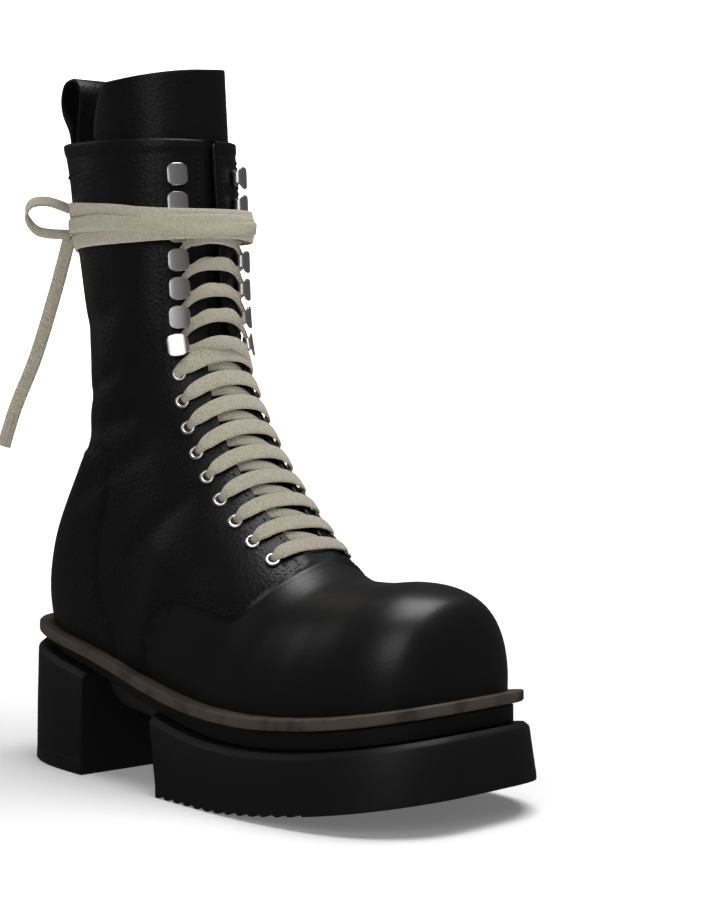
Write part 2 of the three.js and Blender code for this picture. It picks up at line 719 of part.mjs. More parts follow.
// Pull loop: a folded strap that stands on the collar's edge at the back
function makeLoop() {
  const back = skin(collarRow, 0.5, -wall / 2);
  const teardrop = (inset) => {
    const foot = 3.4 - inset;
    const shape = new THREE.Path();
    shape.moveTo(-foot, inset);
    shape.bezierCurveTo(-foot - 1, loopRise * 0.3, -loopBulge + inset, loopRise * 0.5, -loopBulge + inset, loopRise * 0.74);
    shape.bezierCurveTo(-loopBulge + inset, loopRise - inset, 5 - inset, loopRise - inset, 6 - inset, loopRise * 0.78);
    shape.bezierCurveTo(6 - inset, loopRise * 0.5, foot + 1, loopRise * 0.3, foot, inset);
    return shape.getPoints(7);
  };
  const shape = new THREE.Shape(teardrop(0));
  shape.holes.push(new THREE.Path(teardrop(loopStrap).reverse()));
  const geometry = new THREE.ExtrudeGeometry(shape, { depth: loopWidth, bevelEnabled: false });
  geometry.rotateX(Math.PI / 2);
  geometry.translate(back.x, back.y + loopWidth / 2 - loopAside, collarHeight + clearance);
  return solid(geometry);
}
addPiece("pull_loop", makeLoop(), leather);

// Zip: tape in its slot, a row of teeth, and a slider with a hanging tab
const tapeTop = -0.4;
const tapeForm = zipPrism(zipWidth - 2 * clearance, zipFoot + clearance, collarHeight - clearance);
addPiece("zip_tape", shaftSheet(tapeTop - zipTape, tapeTop).intersect(tapeForm), tape);
const sliderTop = collarHeight - 2;
const teethTop = 1.1;
const teethForm = zipPrism(zipTeeth, zipFoot + 2, sliderTop - sliderLength - clearance);
addPiece("zip_teeth", shaftSheet(tapeTop + clearance, teethTop).intersect(teethForm), metal);

// Faces of the slider and of its tab stand on the boot's inner side, so they are built upright in place
const sliderPlace = zipStations(sliderTop - sliderLength, sliderTop);
const sliderMiddle = sliderPlace[8];
const sliderNormal = normalAt(sliderMiddle.row, sliderMiddle.turn);
const sliderFrame = new THREE.Matrix4().makeBasis(
  new THREE.Vector3(0, 0, 1).cross(sliderNormal).normalize(),
  sliderNormal.clone().cross(new THREE.Vector3(0, 0, 1).cross(sliderNormal).normalize()),
  sliderNormal,
);
sliderFrame.setPosition(bare(sliderMiddle.row, sliderMiddle.turn));

function boxAt(width, height, depth, x, y, z) {
  const geometry = new THREE.BoxGeometry(width, height, depth);
  geometry.translate(x, y, z);
  return solid(geometry);
}
function placed(made) {
  const mesh = made.getMesh();
  const geometry = closedGeometry([...mesh.vertProperties], [...mesh.triVerts]);
  return solid(geometry.applyMatrix4(sliderFrame));
}
const sliderLow = tapeTop + clearance;
const sliderHigh = 2.4;
const sliderWidth = 7.2;
const pinHigh = sliderHigh + 3.4;
const lugGap = 3;
const slider = boxAt(sliderWidth, sliderLength, sliderHigh - sliderLow, 0, 0, (sliderHigh + sliderLow) / 2)
  .add(boxAt(1.2, 3, 4, -lugGap / 2 - 0.6, 0, sliderHigh + 1.9))
  .add(boxAt(1.2, 3, 4, lugGap / 2 + 0.6, 0, sliderHigh + 1.9))
  .add(boxAt(lugGap + 2.4, 1.2, 1.2, 0, 0, pinHigh));
addPiece("zip_slider", placed(slider), metal);

const eye = 1.2 + 2 * clearance;
const tabBox = boxAt(lugGap - 2 * clearance, eye + 2.4, eye + 2.4, 0, 0, pinHigh)
  .add(boxAt(tabWidth, tabLength, 1.4, 0, -tabLength / 2 - eye / 2 - 1.2, pinHigh))
  .add(boxAt(lugGap - 2 * clearance, 2.4, 1.4, 0, -eye / 2 - 1, pinHigh))
  .subtract(boxAt(2 * lugGap, eye, eye, 0, 0, pinHigh));
addPiece("zip_pull", placed(tabBox), metal);

// Lace. Its bars lie over the throat from eyelet to eyelet, joined down the sides as the lace runs on
const outerPlaces = fastenerPlaces(1);
const innerPlaces = fastenerPlaces(-1);
const laceLow = seat + eyeletHeight + 1.2;
const laceHigh = laceLow + laceThickness;

// A flat run of lace across the front between two places
function laceRun(from, to, width = laceWidth, low = laceLow, high = laceHigh, inset = 0, count = 7) {
  const stations = Array.from({ length: count }, (_, i) => {
    const t = lerp(inset, 1 - inset, i / (count - 1));
    return { row: lerp(from.row, to.row, t), turn: lerp(from.turn, to.turn, t) };
  });
  return strip(stations, width, low, high);
}

function makeBars() {
  let made = null;
  for (let i = hookRows; i < hookRows + eyeletRows; i++) {
    const bar = laceRun(outerPlaces[i], innerPlaces[i], laceWidth * (i === hookRows ? 0.8 : 1));
    made = made ? made.add(bar) : bar;
    const places = i % 2 ? outerPlaces : innerPlaces;
    if (i + 1 < hookRows + eyeletRows) made = made.add(laceRun(places[i], places[i + 1], laceWidth / 2, laceLow, laceHigh, 0, 3));
  }
  return made;
}
addPiece("lace_bars", makeBars(), lace);

// Crossings up the hooks, between the necks
const crossingInset = 0.25; // share of a crossing that is left off beside each hook
function makeCrossings() {
  let made = null;
  const low = seat + 0.4;
  for (let i = bareHooks; i < hookRows - 1; i++)
    for (const [from, to] of [
      [outerPlaces[i], innerPlaces[i + 1]],
      [innerPlaces[i], outerPlaces[i + 1]],
    ]) {
      const run = laceRun(from, to, laceWidth * 0.7, low, low + laceThickness, crossingInset, 4);
      made = made ? made.add(run) : run;
    }
  for (let i = bareHooks + 1; i < hookRows - 1; i++)
    for (const [near, far] of [
      [outerPlaces, innerPlaces],
      [innerPlaces, outerPlaces],
    ]) {
      const ends = [i - 1, i + 1].map((k) => ({
        row: lerp(near[i].row, near[k].row, 1.1 * crossingInset),
        turn: lerp(near[i].turn, far[i].turn, 1.1 * crossingInset),
      }));
      made = made.add(laceRun(ends[0], ends[1], laceWidth * 0.4, low, low + laceThickness, 0, 2));
    }
  return made;
}
addPiece("lace_crossings", makeCrossings(), lace);

// Turns of lace round the shaft, over the hooks
const wrapHeight = 291;
const wrapWidth = 23;
const wrapThickness = 2.6;
function atHeight(z, turn) {
  let [low, high] = [10, lastRow];
  for (let k = 0; k < 24; k++) {
    const middle = (low + high) / 2;
    if (bare(middle, turn).z < z) low = middle;
    else high = middle;
  }
  return { row: low, turn };
}
function makeWrap() {
  const around = 40;
  const stations = Array.from({ length: around }, (_, i) => atHeight(wrapHeight, i / around));
  const reach = hookHeight + seat + 1;
  const out = (t) => lerp(seat + 0.4, reach, clamp((Math.cos(t * 2 * Math.PI) - 0.35) / 0.35, 0, 1));
  return strip(stations, wrapWidth, out, (t) => out(t) + wrapThickness, true);
}
addPiece("lace_wrap", makeWrap(), lace);

// The bow's loop and its hanging end leave the turns at the back of the outer side. Each route is a table
// of [distance behind the turns, height above their middle].
const loopRoute = [
  [0, 9],
  [9, 13],
  [18, 12],
  [20, 5],
  [13, -2],
  [0, -4],
];
const endRoute = [
  [-1.3, -8],
  [7, -36],
  [17, -70],
  [27, -96],
  [34, -118],
];
function cordAlong(route, diameter) {
  const from = atHeight(wrapHeight, 0.375);
  const away = normalAt(from.row, from.turn).setZ(0).normalize();
  const start = skin(from.row, from.turn, seat + clearance + wrapThickness + 2 * clearance + diameter / 2);
  const points = route.map(([out, up]) => new THREE.Vector3(start.x + away.x * out, start.y + away.y * out, wrapHeight + up));
  const path = new THREE.CatmullRomCurve3(points);
  const ring = Array.from({ length: 8 }, (_, i) => (i / 8) * 2 * Math.PI);
  const shape = new THREE.Shape(ring.map((a) => new THREE.Vector2(Math.cos(a), Math.sin(a)).multiplyScalar(diameter / 2)));
  return solid(new THREE.ExtrudeGeometry(shape, { steps: 12, bevelEnabled: false, extrudePath: path }));
}
addPiece("lace_loop", cordAlong(loopRoute, laceWidth / 2), lace);
addPiece("lace_end", cordAlong(endRoute, laceWidth * 0.9), lace);

// Everything stands with the middle of its sole at the origin
const box = new THREE.Box3();
for (const mesh of boot.children) if (!mesh.name.startsWith("lace_")) box.expandByObject(mesh);
const centre = box.getCenter(new THREE.Vector3());
boot.position.set(-centre.x, -centre.y, 0);

export default boot;
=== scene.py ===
# %% [markdown]
# A black combat boot for the right foot. The CAD parts are the frame: this script covers them with finer
# forms, in the same place, and gives them leather, rubber, metal and lace.
# %% Start
import math
import bpy
import numpy as np
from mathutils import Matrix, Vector


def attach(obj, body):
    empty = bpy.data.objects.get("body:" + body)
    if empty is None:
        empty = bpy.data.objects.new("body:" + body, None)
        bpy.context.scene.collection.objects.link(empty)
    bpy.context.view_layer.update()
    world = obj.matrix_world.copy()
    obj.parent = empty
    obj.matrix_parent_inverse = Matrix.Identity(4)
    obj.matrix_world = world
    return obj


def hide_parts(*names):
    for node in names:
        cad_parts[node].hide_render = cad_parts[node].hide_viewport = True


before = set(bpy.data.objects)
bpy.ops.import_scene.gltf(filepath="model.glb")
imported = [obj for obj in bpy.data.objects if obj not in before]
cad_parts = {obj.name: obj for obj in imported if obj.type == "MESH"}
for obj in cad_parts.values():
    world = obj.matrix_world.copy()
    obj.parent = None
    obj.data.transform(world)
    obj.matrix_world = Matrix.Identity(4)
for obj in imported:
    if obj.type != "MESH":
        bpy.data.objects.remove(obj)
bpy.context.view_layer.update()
scene = bpy.context.scene

# %% [markdown]
# Sizes in millimetres. The origin of the CAD parts is the middle of the footprint; the tables below count
# from just behind the heel of the upper, so every point is moved by SHIFT.
# %% Sizes
LAST = 293.0
BALL_WIDTH = 107.0
COLLAR = 333.0
WALL = 2.2
QUARTER = 1.1
COUNTER = 1.0
HEEL_STACK = 77.0
BALL_STACK = 49.0
TOE_SPRING = 12.0
RISE = COLLAR - BALL_STACK
SHIFT = np.array([-150.2584, 0.193, 0.0])
SEAT = QUARTER + 0.3
LACE = 8.4

# %% [markdown]
# The camera stands in front of the outer side at 44 degrees, a little above the middle of the boot.
# %% Camera
PICTURE_WIDTH, SENSOR_WIDTH, FOCUS = 720, 36, 2290
CAMERA_AWAY, CAMERA_ASIDE = 1190, 62.5
CAMERA_OVER = np.array([136.0, 0, 240.0])
azimuth = math.radians(44)
back = np.array([math.sin(azimuth), -math.cos(azimuth), 0.0])
right = np.array([math.cos(azimuth), math.sin(azimuth), 0.0])
pitch = math.radians(3.2)
eye = back * CAMERA_AWAY + right * CAMERA_ASIDE + CAMERA_OVER + SHIFT
look = -back * math.cos(pitch) - np.array([0, 0, 1.0]) * math.sin(pitch)
bpy.ops.object.camera_add(location=tuple(eye / 1000))
camera = bpy.context.object
camera.rotation_euler = Vector(look).to_track_quat("-Z", "Y").to_euler()
camera.data.sensor_fit = "HORIZONTAL"
camera.data.sensor_width = SENSOR_WIDTH
camera.data.lens = FOCUS / PICTURE_WIDTH * SENSOR_WIDTH
scene.camera = camera


# %% [markdown]
# Materials are mixed from noise on object coordinates, and the weave of the lace from waves along its band,
# so they need no pictures.
# %% Materials
def new_material(name, colour, roughness, metallic=0.0, bumps=(), spots=None, shine=0.5):
    """bumps is a list of (kind, scale, strength in mm); spots mixes a second colour by noise."""
    material = bpy.data.materials.new(name)
    material.use_nodes = True
    nodes, links = material.node_tree.nodes, material.node_tree.links
    shader = nodes["Principled BSDF"]
    shader.inputs["Base Color"].default_value = (*colour, 1)
    shader.inputs["Roughness"].default_value = roughness
    shader.inputs["Metallic"].default_value = metallic
    shader.inputs["Specular IOR Level"].default_value = shine
    coords = nodes.new("ShaderNodeTexCoord")
    previous = None
    for kind, scale, strength in bumps:
        if kind == "voronoi":
            texture = nodes.new("ShaderNodeTexVoronoi")
            output = texture.outputs["Distance"]
        else:
            texture = nodes.new("ShaderNodeTexNoise")
            texture.inputs["Detail"].default_value = 3
            output = texture.outputs["Fac"]
        texture.inputs["Scale"].default_value = scale
        links.new(coords.outputs["Object"], texture.inputs["Vector"])
        bump = nodes.new("ShaderNodeBump")
        bump.inputs["Distance"].default_value = strength / 1000
        bump.inputs["Strength"].default_value = 1
        links.new(output, bump.inputs["Height"])
        if previous:
            links.new(previous.outputs["Normal"], bump.inputs["Normal"])
        links.new(bump.outputs["Normal"], shader.inputs["Normal"])
        previous = bump
    if spots:
        other, scale, low, high = spots
        noise = nodes.new("ShaderNodeTexNoise")
        noise.inputs["Scale"].default_value = scale
        noise.inputs["Detail"].default_value = 6
        links.new(coords.outputs["Object"], noise.inputs["Vector"])
        ramp = nodes.new("ShaderNodeMapRange")
        ramp.inputs["From Min"].default_value = low
        ramp.inputs["From Max"].default_value = high
        links.new(noise.outputs["Fac"], ramp.inputs["Value"])
        mix = nodes.new("ShaderNodeMix")
        mix.data_type = "RGBA"
        links.new(ramp.outputs["Result"], mix.inputs["Factor"])
        mix.inputs["A"].default_value = (*colour, 1)
        mix.inputs["B"].default_value = (*other, 1)
        links.new(mix.outputs["Result"], shader.inputs["Base Color"])
    return material


BLACK_LEATHER = (0.0035, 0.0035, 0.0038)
smooth_leather = new_material("smooth_leather", BLACK_LEATHER, 0.37, shine=0.45,
                              bumps=[("voronoi", 900, 0.03), ("noise", 200, 0.05)])
grained_leather = new_material("grained_leather", BLACK_LEATHER, 0.4, shine=0.27,
                               bumps=[("voronoi", 560, 0.16), ("noise", 130, 0.12)])
lining_leather = new_material("lining_leather", (0.02, 0.018, 0.016), 0.75, bumps=[("noise", 700, 0.08)])
tongue_leather = new_material("tongue_leather", BLACK_LEATHER, 0.42, shine=0.2,
                              bumps=[("voronoi", 560, 0.14), ("noise", 90, 0.25)])
rubber = new_material("rubber", (0.0055, 0.005, 0.0052), 0.5, shine=0.28,
                      bumps=[("noise", 900, 0.05), ("noise", 60, 0.1)])
welt_edge = new_material("welt_edge", (0.060, 0.046, 0.034), 0.7, bumps=[("noise", 500, 0.15)],
                         spots=((0.022, 0.018, 0.015), 90, 0.45, 0.7))
metal = new_material("metal", (0.86, 0.84, 0.83), 0.3, 1.0, bumps=[("noise", 900, 0.02)])
tape = new_material("tape", (0.009, 0.009, 0.01), 0.85, bumps=[("noise", 1500, 0.1)])
thread = new_material("thread", (0.006, 0.006, 0.0063), 0.6, shine=0.2)


def woven_material():
    """Cloth with two sets of fine ridges that cross each other along the band."""
    material = new_material("lace", (0.60, 0.555, 0.43), 0.85, shine=0.2,
                            spots=((0.46, 0.41, 0.31), 600, 0.4, 0.75))
    nodes, links = material.node_tree.nodes, material.node_tree.links
    shader = nodes["Principled BSDF"]
    shader.inputs["Sheen Weight"].default_value = 0.25
    uv = nodes.new("ShaderNodeUVMap")
    bump = None
    for direction in (1, -1):
        mapping = nodes.new("ShaderNodeMapping")
        mapping.inputs["Rotation"].default_value = (0, 0, direction * math.radians(40))
        links.new(uv.outputs["UV"], mapping.inputs["Vector"])
        wave = nodes.new("ShaderNodeTexWave")
        wave.inputs["Scale"].default_value = 0.34
        wave.inputs["Distortion"].default_value = 0.4
        links.new(mapping.outputs["Vector"], wave.inputs["Vector"])
        layer = nodes.new("ShaderNodeBump")
        layer.inputs["Distance"].default_value = 0.00034
        links.new(wave.outputs["Fac"], layer.inputs["Height"])
        if bump:
            links.new(bump.outputs["Normal"], layer.inputs["Normal"])
        bump = layer
    links.new(bump.outputs["Normal"], shader.inputs["Normal"])
    return material


lace_cloth = woven_material()


# %% [markdown]
# The upper's form: a table of sections from the toe round the instep to above the collar, the same as in
# the CAD part. A point has a row along the table and a turn round the section.
# %% Form of the upper
NAMES = "fx fz bx bz outer inner mid top base shift".split()
SECTIONS = np.array([
    (0.997, 0.06, 0.99, -0.06, 0.13, 0.13, 0.45, 2.2, 3.0, 0.05),
    (1.0, 0.11, 0.98, -0.08, 0.23, 0.23, 0.42, 2.3, 3.2, 0.045),
    (0.994, 0.16, 0.96, -0.1, 0.32, 0.32, 0.4, 2.3, 3.4, 0.04),
    (0.972, 0.202, 0.93, -0.1, 0.4, 0.4, 0.38, 2.3, 3.4, 0.03),
    (0.93, 0.222, 0.89, -0.1, 0.455, 0.455, 0.37, 2.35, 3.4, 0.02),
    (0.875, 0.227, 0.835, -0.1, 0.485, 0.485, 0.36, 2.35, 3.4, 0.01),
    (0.805, 0.22, 0.765, -0.1, 0.495, 0.49, 0.37, 2.3, 3.4, 0.0),
    (0.735, 0.225, 0.68, -0.1, 0.49, 0.475, 0.4, 2.2, 3.2, -0.01),
    (0.668, 0.263, 0.575, -0.1, 0.47, 0.445, 0.46, 2.2, 3.0, -0.02),
    (0.6, 0.33, 0.45, -0.09, 0.443, 0.41, 0.52, 2.25, 3.0, -0.025),
    (0.538, 0.41, 0.3, -0.08, 0.41, 0.38, 0.57, 2.3, 2.9, -0.03),
    (0.488, 0.492, 0.17, -0.06, 0.38, 0.36, 0.6, 2.3, 2.8, -0.03),
    (0.449, 0.575, 0.055, 0.0, 0.36, 0.35, 0.6, 2.3, 2.6, -0.03),
    (0.425, 0.65, 0.02, 0.16, 0.35, 0.345, 0.56, 2.3, 2.35, -0.03),
    (0.41, 0.725, 0.13, 0.36, 0.345, 0.34, 0.52, 2.3, 2.25, -0.03),
    (0.402, 0.81, 0.15, 0.56, 0.35, 0.345, 0.5, 2.3, 2.25, -0.025),
    (0.396, 0.905, 0.115, 0.77, 0.358, 0.352, 0.5, 2.35, 2.25, -0.02),
    (0.39, 1.0, 0.075, 1.0, 0.368, 0.36, 0.5, 2.4, 2.3, -0.02),
    (0.384, 1.1, 0.05, 1.1, 0.373, 0.365, 0.5, 2.4, 2.3, -0.02),
    (0.378, 1.2, 0.03, 1.2, 0.378, 0.37, 0.5, 2.4, 2.3, -0.02),
])
COLUMN = {name: SECTIONS[:, i] for i, name in enumerate(NAMES)}
LAST_ROW = len(SECTIONS) - 1
COLLAR_ROW = 17.0
ROW_STEP, TURN_STEP = 0.02, 0.004
SIDE_HALVINGS, ROW_HALVINGS = 34, 26


def between(values, at):
    """A smooth curve through a list of values, read at places counted along the list."""
    values = np.asarray(values, float)
    last = len(values) - 1
    at = np.clip(at, 0, last)
    i = np.minimum(np.floor(at).astype(int), last - 1)
    f = at - i
    a, b, c, d = [values[np.clip(i + k, 0, last)] for k in (-1, 0, 1, 2)]
    return b + 0.5 * f * (c - a + f * (2 * a - 5 * b + 4 * c - d + f * (3 * (b - c) + d - a)))


def along(rows, key):
    """A smooth curve through rows of (key, value), read at a key."""
    keys = np.array([r[0] for r in rows], float)
    key = np.asarray(key, float)
    i = np.clip(np.searchsorted(keys, key, side="left") - 1, 0, len(keys) - 2)
    f = np.clip((key - keys[i]) / (keys[i + 1] - keys[i]), 0, 1)
    return between([r[1] for r in rows], i + f)


def bare(row, turn):
    """Points of the upper's form, without seams and panels."""
    row, turn = np.broadcast_arrays(np.asarray(row, float), np.asarray(turn, float))
    g = {name: between(COLUMN[name], row) for name in NAMES}
    angle = turn * 2 * np.pi
    c, s = np.cos(angle), np.sin(angle)
    power = 2 / np.where(c > 0, g["top"], g["base"])
    share = g["mid"] + np.where(c > 0, 1 - g["mid"], g["mid"]) * np.sign(c) * np.abs(c) ** power
    half = np.where(s > 0, g["outer"], g["inner"])
    y = (g["shift"] - half * np.sign(s) * np.abs(s) ** power) * BALL_WIDTH
    x = (g["bx"] + (g["fx"] - g["bx"]) * share) * LAST
    z = BALL_STACK + (g["bz"] + (g["fz"] - g["bz"]) * share) * RISE
    return np.stack([x, y, z], -1)


def unit(v):
    return v / np.maximum(np.linalg.norm(v, axis=-1, keepdims=True), 1e-9)


def normal_at(row, turn):
    row, turn = np.asarray(row), np.asarray(turn)
    du = bare(np.minimum(row + ROW_STEP, LAST_ROW), turn) - bare(np.maximum(row - ROW_STEP, 0), turn)
    dv = bare(row, turn + TURN_STEP) - bare(row, turn - TURN_STEP)
    return unit(np.cross(du, dv))


def skin(row, turn, out):
    """Points at a distance out from the form."""
    return bare(row, turn) + normal_at(row, turn) * np.asarray(out, float)[..., None]


def run_of(points):
    """How far along a line of points each of them lies."""
    return np.concatenate([[0], np.cumsum(np.linalg.norm(np.diff(points, axis=0), axis=1))])


def turn_at(row, distance, side=1):
    """The turn at a distance from the middle of the front, measured round one side of a row."""
    turns = np.linspace(0, 0.5, 400)
    return side * float(np.interp(distance, run_of(bare(row, side * turns)), turns))


def side_at(x, z, side):
    """The row and the turn of a point that is given in side view."""
    low, high = 0.0, float(LAST_ROW)
    for _ in range(SIDE_HALVINGS):
        row = (low + high) / 2
        bx, bz, fx, fz = [float(between(COLUMN[n], row)) for n in ("bx", "bz", "fx", "fz")]
        b = np.array([bx * LAST, BALL_STACK + bz * RISE])
        chord = np.array([fx * LAST, BALL_STACK + fz * RISE]) - b
        to = np.array([x, z]) - b
        if chord[0] * to[1] - chord[1] * to[0] > 0:
            low = row
        else:
            high = row
    share = np.clip(to @ chord / (chord @ chord), 0, 1)
    mid = float(between(COLUMN["mid"], row))
    reach = (share - mid) / (1 - mid) if share > mid else (share - mid) / mid
    power = float(between(COLUMN["top" if share > mid else "base"], row)) / 2
    return row, side * math.acos(np.sign(reach) * abs(reach) ** power) / (2 * math.pi)


FEATHER = [(-0.06, 1.04), (0.0, 1.0), (0.1, 0.86), (0.2, 0.72), (0.3, 0.52), (0.4, 0.27), (0.5, 0.08),
           (0.6, 0.0), (1.1, 0.0)]


def spring(x):
    """How far the sole rises towards the toe."""
    return TOE_SPRING * np.clip((x / LAST - 0.66) / 0.34, 0, 1.3) ** 1.7


def feather(x):
    """The height of the line where the upper meets the sole."""
    return BALL_STACK + (HEEL_STACK - BALL_STACK) * along(FEATHER, x / LAST) + spring(x)


EYESTAY = [(7.9, 25), (8.3, 27.5), (8.8, 30), (9.5, 32), (10.5, 33), (11.5, 32), (12.3, 29), (13, 25.5),
           (14, 22.5), (15, 22), (16, 21), (17, 20.5)]
EYESTAY_WIDTH = 16.0
THROAT_FOOT = 8.02


def throat_turn(row, from_edge=0.0):
    """The turn of the throat's edge, or of a line beside it on the leather. EYESTAY holds how far the
    fasteners are from the middle of the front, and the edge lies nearer by EYESTAY_WIDTH."""
    return turn_at(row, float(along(EYESTAY, row)) - EYESTAY_WIDTH + from_edge)


# %% [markdown]
# Two ways to make a mesh: a grid of points, and a profile swept along a path.
# %% Meshes
def make_mesh(name, points, faces, material, uv=None, body="boot", smooth=True):
    mesh = bpy.data.meshes.new(name)
    mesh.from_pydata(((np.asarray(points) + SHIFT) / 1000).tolist(), [], faces)
    mesh.update()
    mesh.materials.append(material)
    if uv is not None:
        layer = mesh.uv_layers.new(name="UVMap")
        index = np.zeros(len(mesh.loops), int)
        mesh.loops.foreach_get("vertex_index", index)
        layer.data.foreach_set("uv", np.asarray(uv, float)[index].ravel())
    if smooth:
        mesh.polygons.foreach_set("use_smooth", [True] * len(mesh.polygons))
    made = bpy.data.objects.new(name, mesh)
    scene.collection.objects.link(made)
    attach(made, body)
    return made


def grid_faces(n, m, closed=False, keep=None, base=0):
    i, j = np.meshgrid(np.arange(n - 1), np.arange(m if closed else m - 1), indexing="ij")
    if keep is not None:
        i, j = i[keep], j[keep]
    i, j = i.ravel(), j.ravel()
    k = (j + 1) % m
    return (np.stack([i * m + j, (i + 1) * m + j, (i + 1) * m + k, i * m + k], -1) + base).tolist()


def oval(across, up, count):
    """A profile of points round an oval."""
    return [(across * math.cos(a), up * math.sin(a)) for a in np.linspace(0, 2 * math.pi, count + 1)[:-1]]


def sweep(path, ups, profile, closed=False, scale=None):
    """Points, faces and uv of a closed profile of (side, up) along a path."""
    path, ups = np.asarray(path, float), np.asarray(ups, float)
    n, m = len(path), len(profile)
    if closed:
        tangent = unit(np.roll(path, -1, 0) - np.roll(path, 1, 0))
    else:
        tangent = unit(np.gradient(path, axis=0))
    side = unit(np.cross(tangent, ups))
    up = unit(np.cross(side, tangent))
    scale = np.ones((n, 2)) if scale is None else np.asarray(scale)
    prof = np.asarray(profile, float)
    points = (path[:, None] + side[:, None] * (prof[None, :, 0] * scale[:, :1])[..., None]
              + up[:, None] * (prof[None, :, 1] * scale[:, 1:])[..., None])
    uv = np.stack(np.broadcast_arrays(run_of(path)[:, None], prof[None, :, 0]), -1).reshape(-1, 2)
    rows = n + 1 if closed else n
    i, j = [a.ravel() for a in np.meshgrid(np.arange(rows - 1), np.arange(m), indexing="ij")]
    k, above = (j + 1) % m, (i + 1) % n
    faces = np.stack([i * m + j, i * m + k, above * m + k, above * m + j], -1).tolist()
    if not closed:
        faces += [list(range(m))[::-1], [(n - 1) * m + q for q in range(m)]]
    return points.reshape(-1, 3), faces, uv


def join(parts):
    """One set of points, faces and uv from many."""
    points, faces, uvs, base = [], [], [], 0
    for p, f, u in parts:
        points.append(p)
        faces += [[base + v for v in face] for face in f]
        uvs.append(u)
        base += len(p)
    return np.concatenate(points), faces, np.concatenate(uvs)


def smooth_path(points, steps):
    points = np.asarray(points, float)
    at = np.linspace(0, len(points) - 1, (len(points) - 1) * steps + 1)
    return np.stack([between(points[:, k], at) for k in range(points.shape[1])], -1)


def outwards(made):
    """Turns the faces of a closed mesh to the outside."""
    bpy.ops.object.select_all(action="DESELECT")
    made.select_set(True)
    bpy.context.view_layer.objects.active = made
    bpy.ops.object.mode_set(mode="EDIT")
    bpy.ops.mesh.select_all(action="SELECT")
    bpy.ops.mesh.remove_doubles(threshold=0.00002)
    bpy.ops.mesh.normals_make_consistent(inside=False)
    bpy.ops.object.mode_set(mode="OBJECT")
    return made


# %% [markdown]
# Seams of the upper in side view, in shares of length and rise, and the creases: each is a line with the
# width and the depth of its soft trough. A minus depth makes a ridge. The zip lies in a channel of the
# leather on the inner side, with a low lip on both sides of it.
# %% Seams and creases
VAMP_SEAM = [(0.668, 0.263), (0.687, 0.235), (0.628, 0.159), (0.563, 0.162), (0.467, 0.169), (0.418, 0.139),
             (0.403, 0.088), (0.386, 0.0)]
COUNTER_SEAM = [(0.3, 0.0), (0.285, 0.104), (0.255, 0.144), (0.241, 0.2), (0.25, 0.288), (0.27, 0.359),
                (0.265, 0.4), (0.225, 0.428), (0.1, 0.425)]
STITCH_LINES = (2.2, 4.6)
COLLAR_FOLD = 5.0
CREASES = [
    (48, 196, 84, 214, 5.0, 0.9),
    (50, 178, 92, 190, 6.0, 0.8),
    (60, 150, 104, 172, 7.0, 0.9),
    (100, 120, 140, 150, 7.0, 0.8),
    (96, 190, 130, 176, 6.0, 0.6),
    (46, 236, 80, 244, 6.0, 0.6),
    (196, 72, 214, 104, 7.0, 0.35),
    (176, 70, 192, 112, 8.0, 0.3),
    (214, 70, 226, 98, 7.0, 0.2),
    (110, 76, 128, 120, 9.0, -0.8),
]


def in_side(rows):
    return np.array([(x * LAST, BALL_STACK + z * RISE) for x, z in rows])


def distance_to(points, line):
    """How far points are from a line, all in side view."""
    best = np.full(points.shape[:-1], 1e9)
    for a, b in zip(line[:-1], line[1:]):
        d = b - a
        t = np.clip(((points - a) @ d) / (d @ d), 0, 1)
        best = np.minimum(best, np.linalg.norm(points - (a + t[..., None] * d), axis=-1))
    return best


def inside(points, corners):
    """Whether points in side view are inside an area."""
    x, z = points[..., 0], points[..., 1]
    odd = np.zeros(x.shape, bool)
    for (x0, z0), (x1, z1) in zip(corners, np.roll(corners, -1, 0)):
        if z0 == z1:
            continue
        odd ^= ((z0 > z) != (z1 > z)) & (x < (x1 - x0) * (z - z0) / (z1 - z0) + x0)
    return odd


def step(d, low, high):
    """A soft step from 0 at low to 1 at high."""
    t = np.clip((d - low) / (high - low), 0, 1)
    return t * t * (3 - 2 * t)


def peak(d, width):
    """1 where d is 0, and next to nothing from twice the width on."""
    return np.exp(-((d / width) ** 2))


vamp_line = smooth_path(in_side(VAMP_SEAM), 8)
counter_line = smooth_path(in_side(COUNTER_SEAM), 8)
quarter_area = np.concatenate([vamp_line, [(-LAST, BALL_STACK), (-LAST, 2 * COLLAR), (LAST / 2, 2 * COLLAR)],
                               in_side([(0.6, 0.36)])])
counter_area = np.concatenate([counter_line, in_side([(-0.3, 0.42), (-0.3, 0.0)])])


ZIP = [(0.25, 0.25), (0.4, 0.2), (0.55, 0.178), (0.75, 0.17), (1.1, 0.165)]
ZIP_FOOT, ZIP_HALF, ZIP_DEPTH = 132.0, 4.3, 1.8


def zip_x(level):
    """How far forward the zip runs at a height."""
    return float(along(ZIP, (level - BALL_STACK) / RISE)) * LAST


zip_levels = np.linspace(110, 350, 80)
zip_line = np.array([zip_x(level) for level in zip_levels])


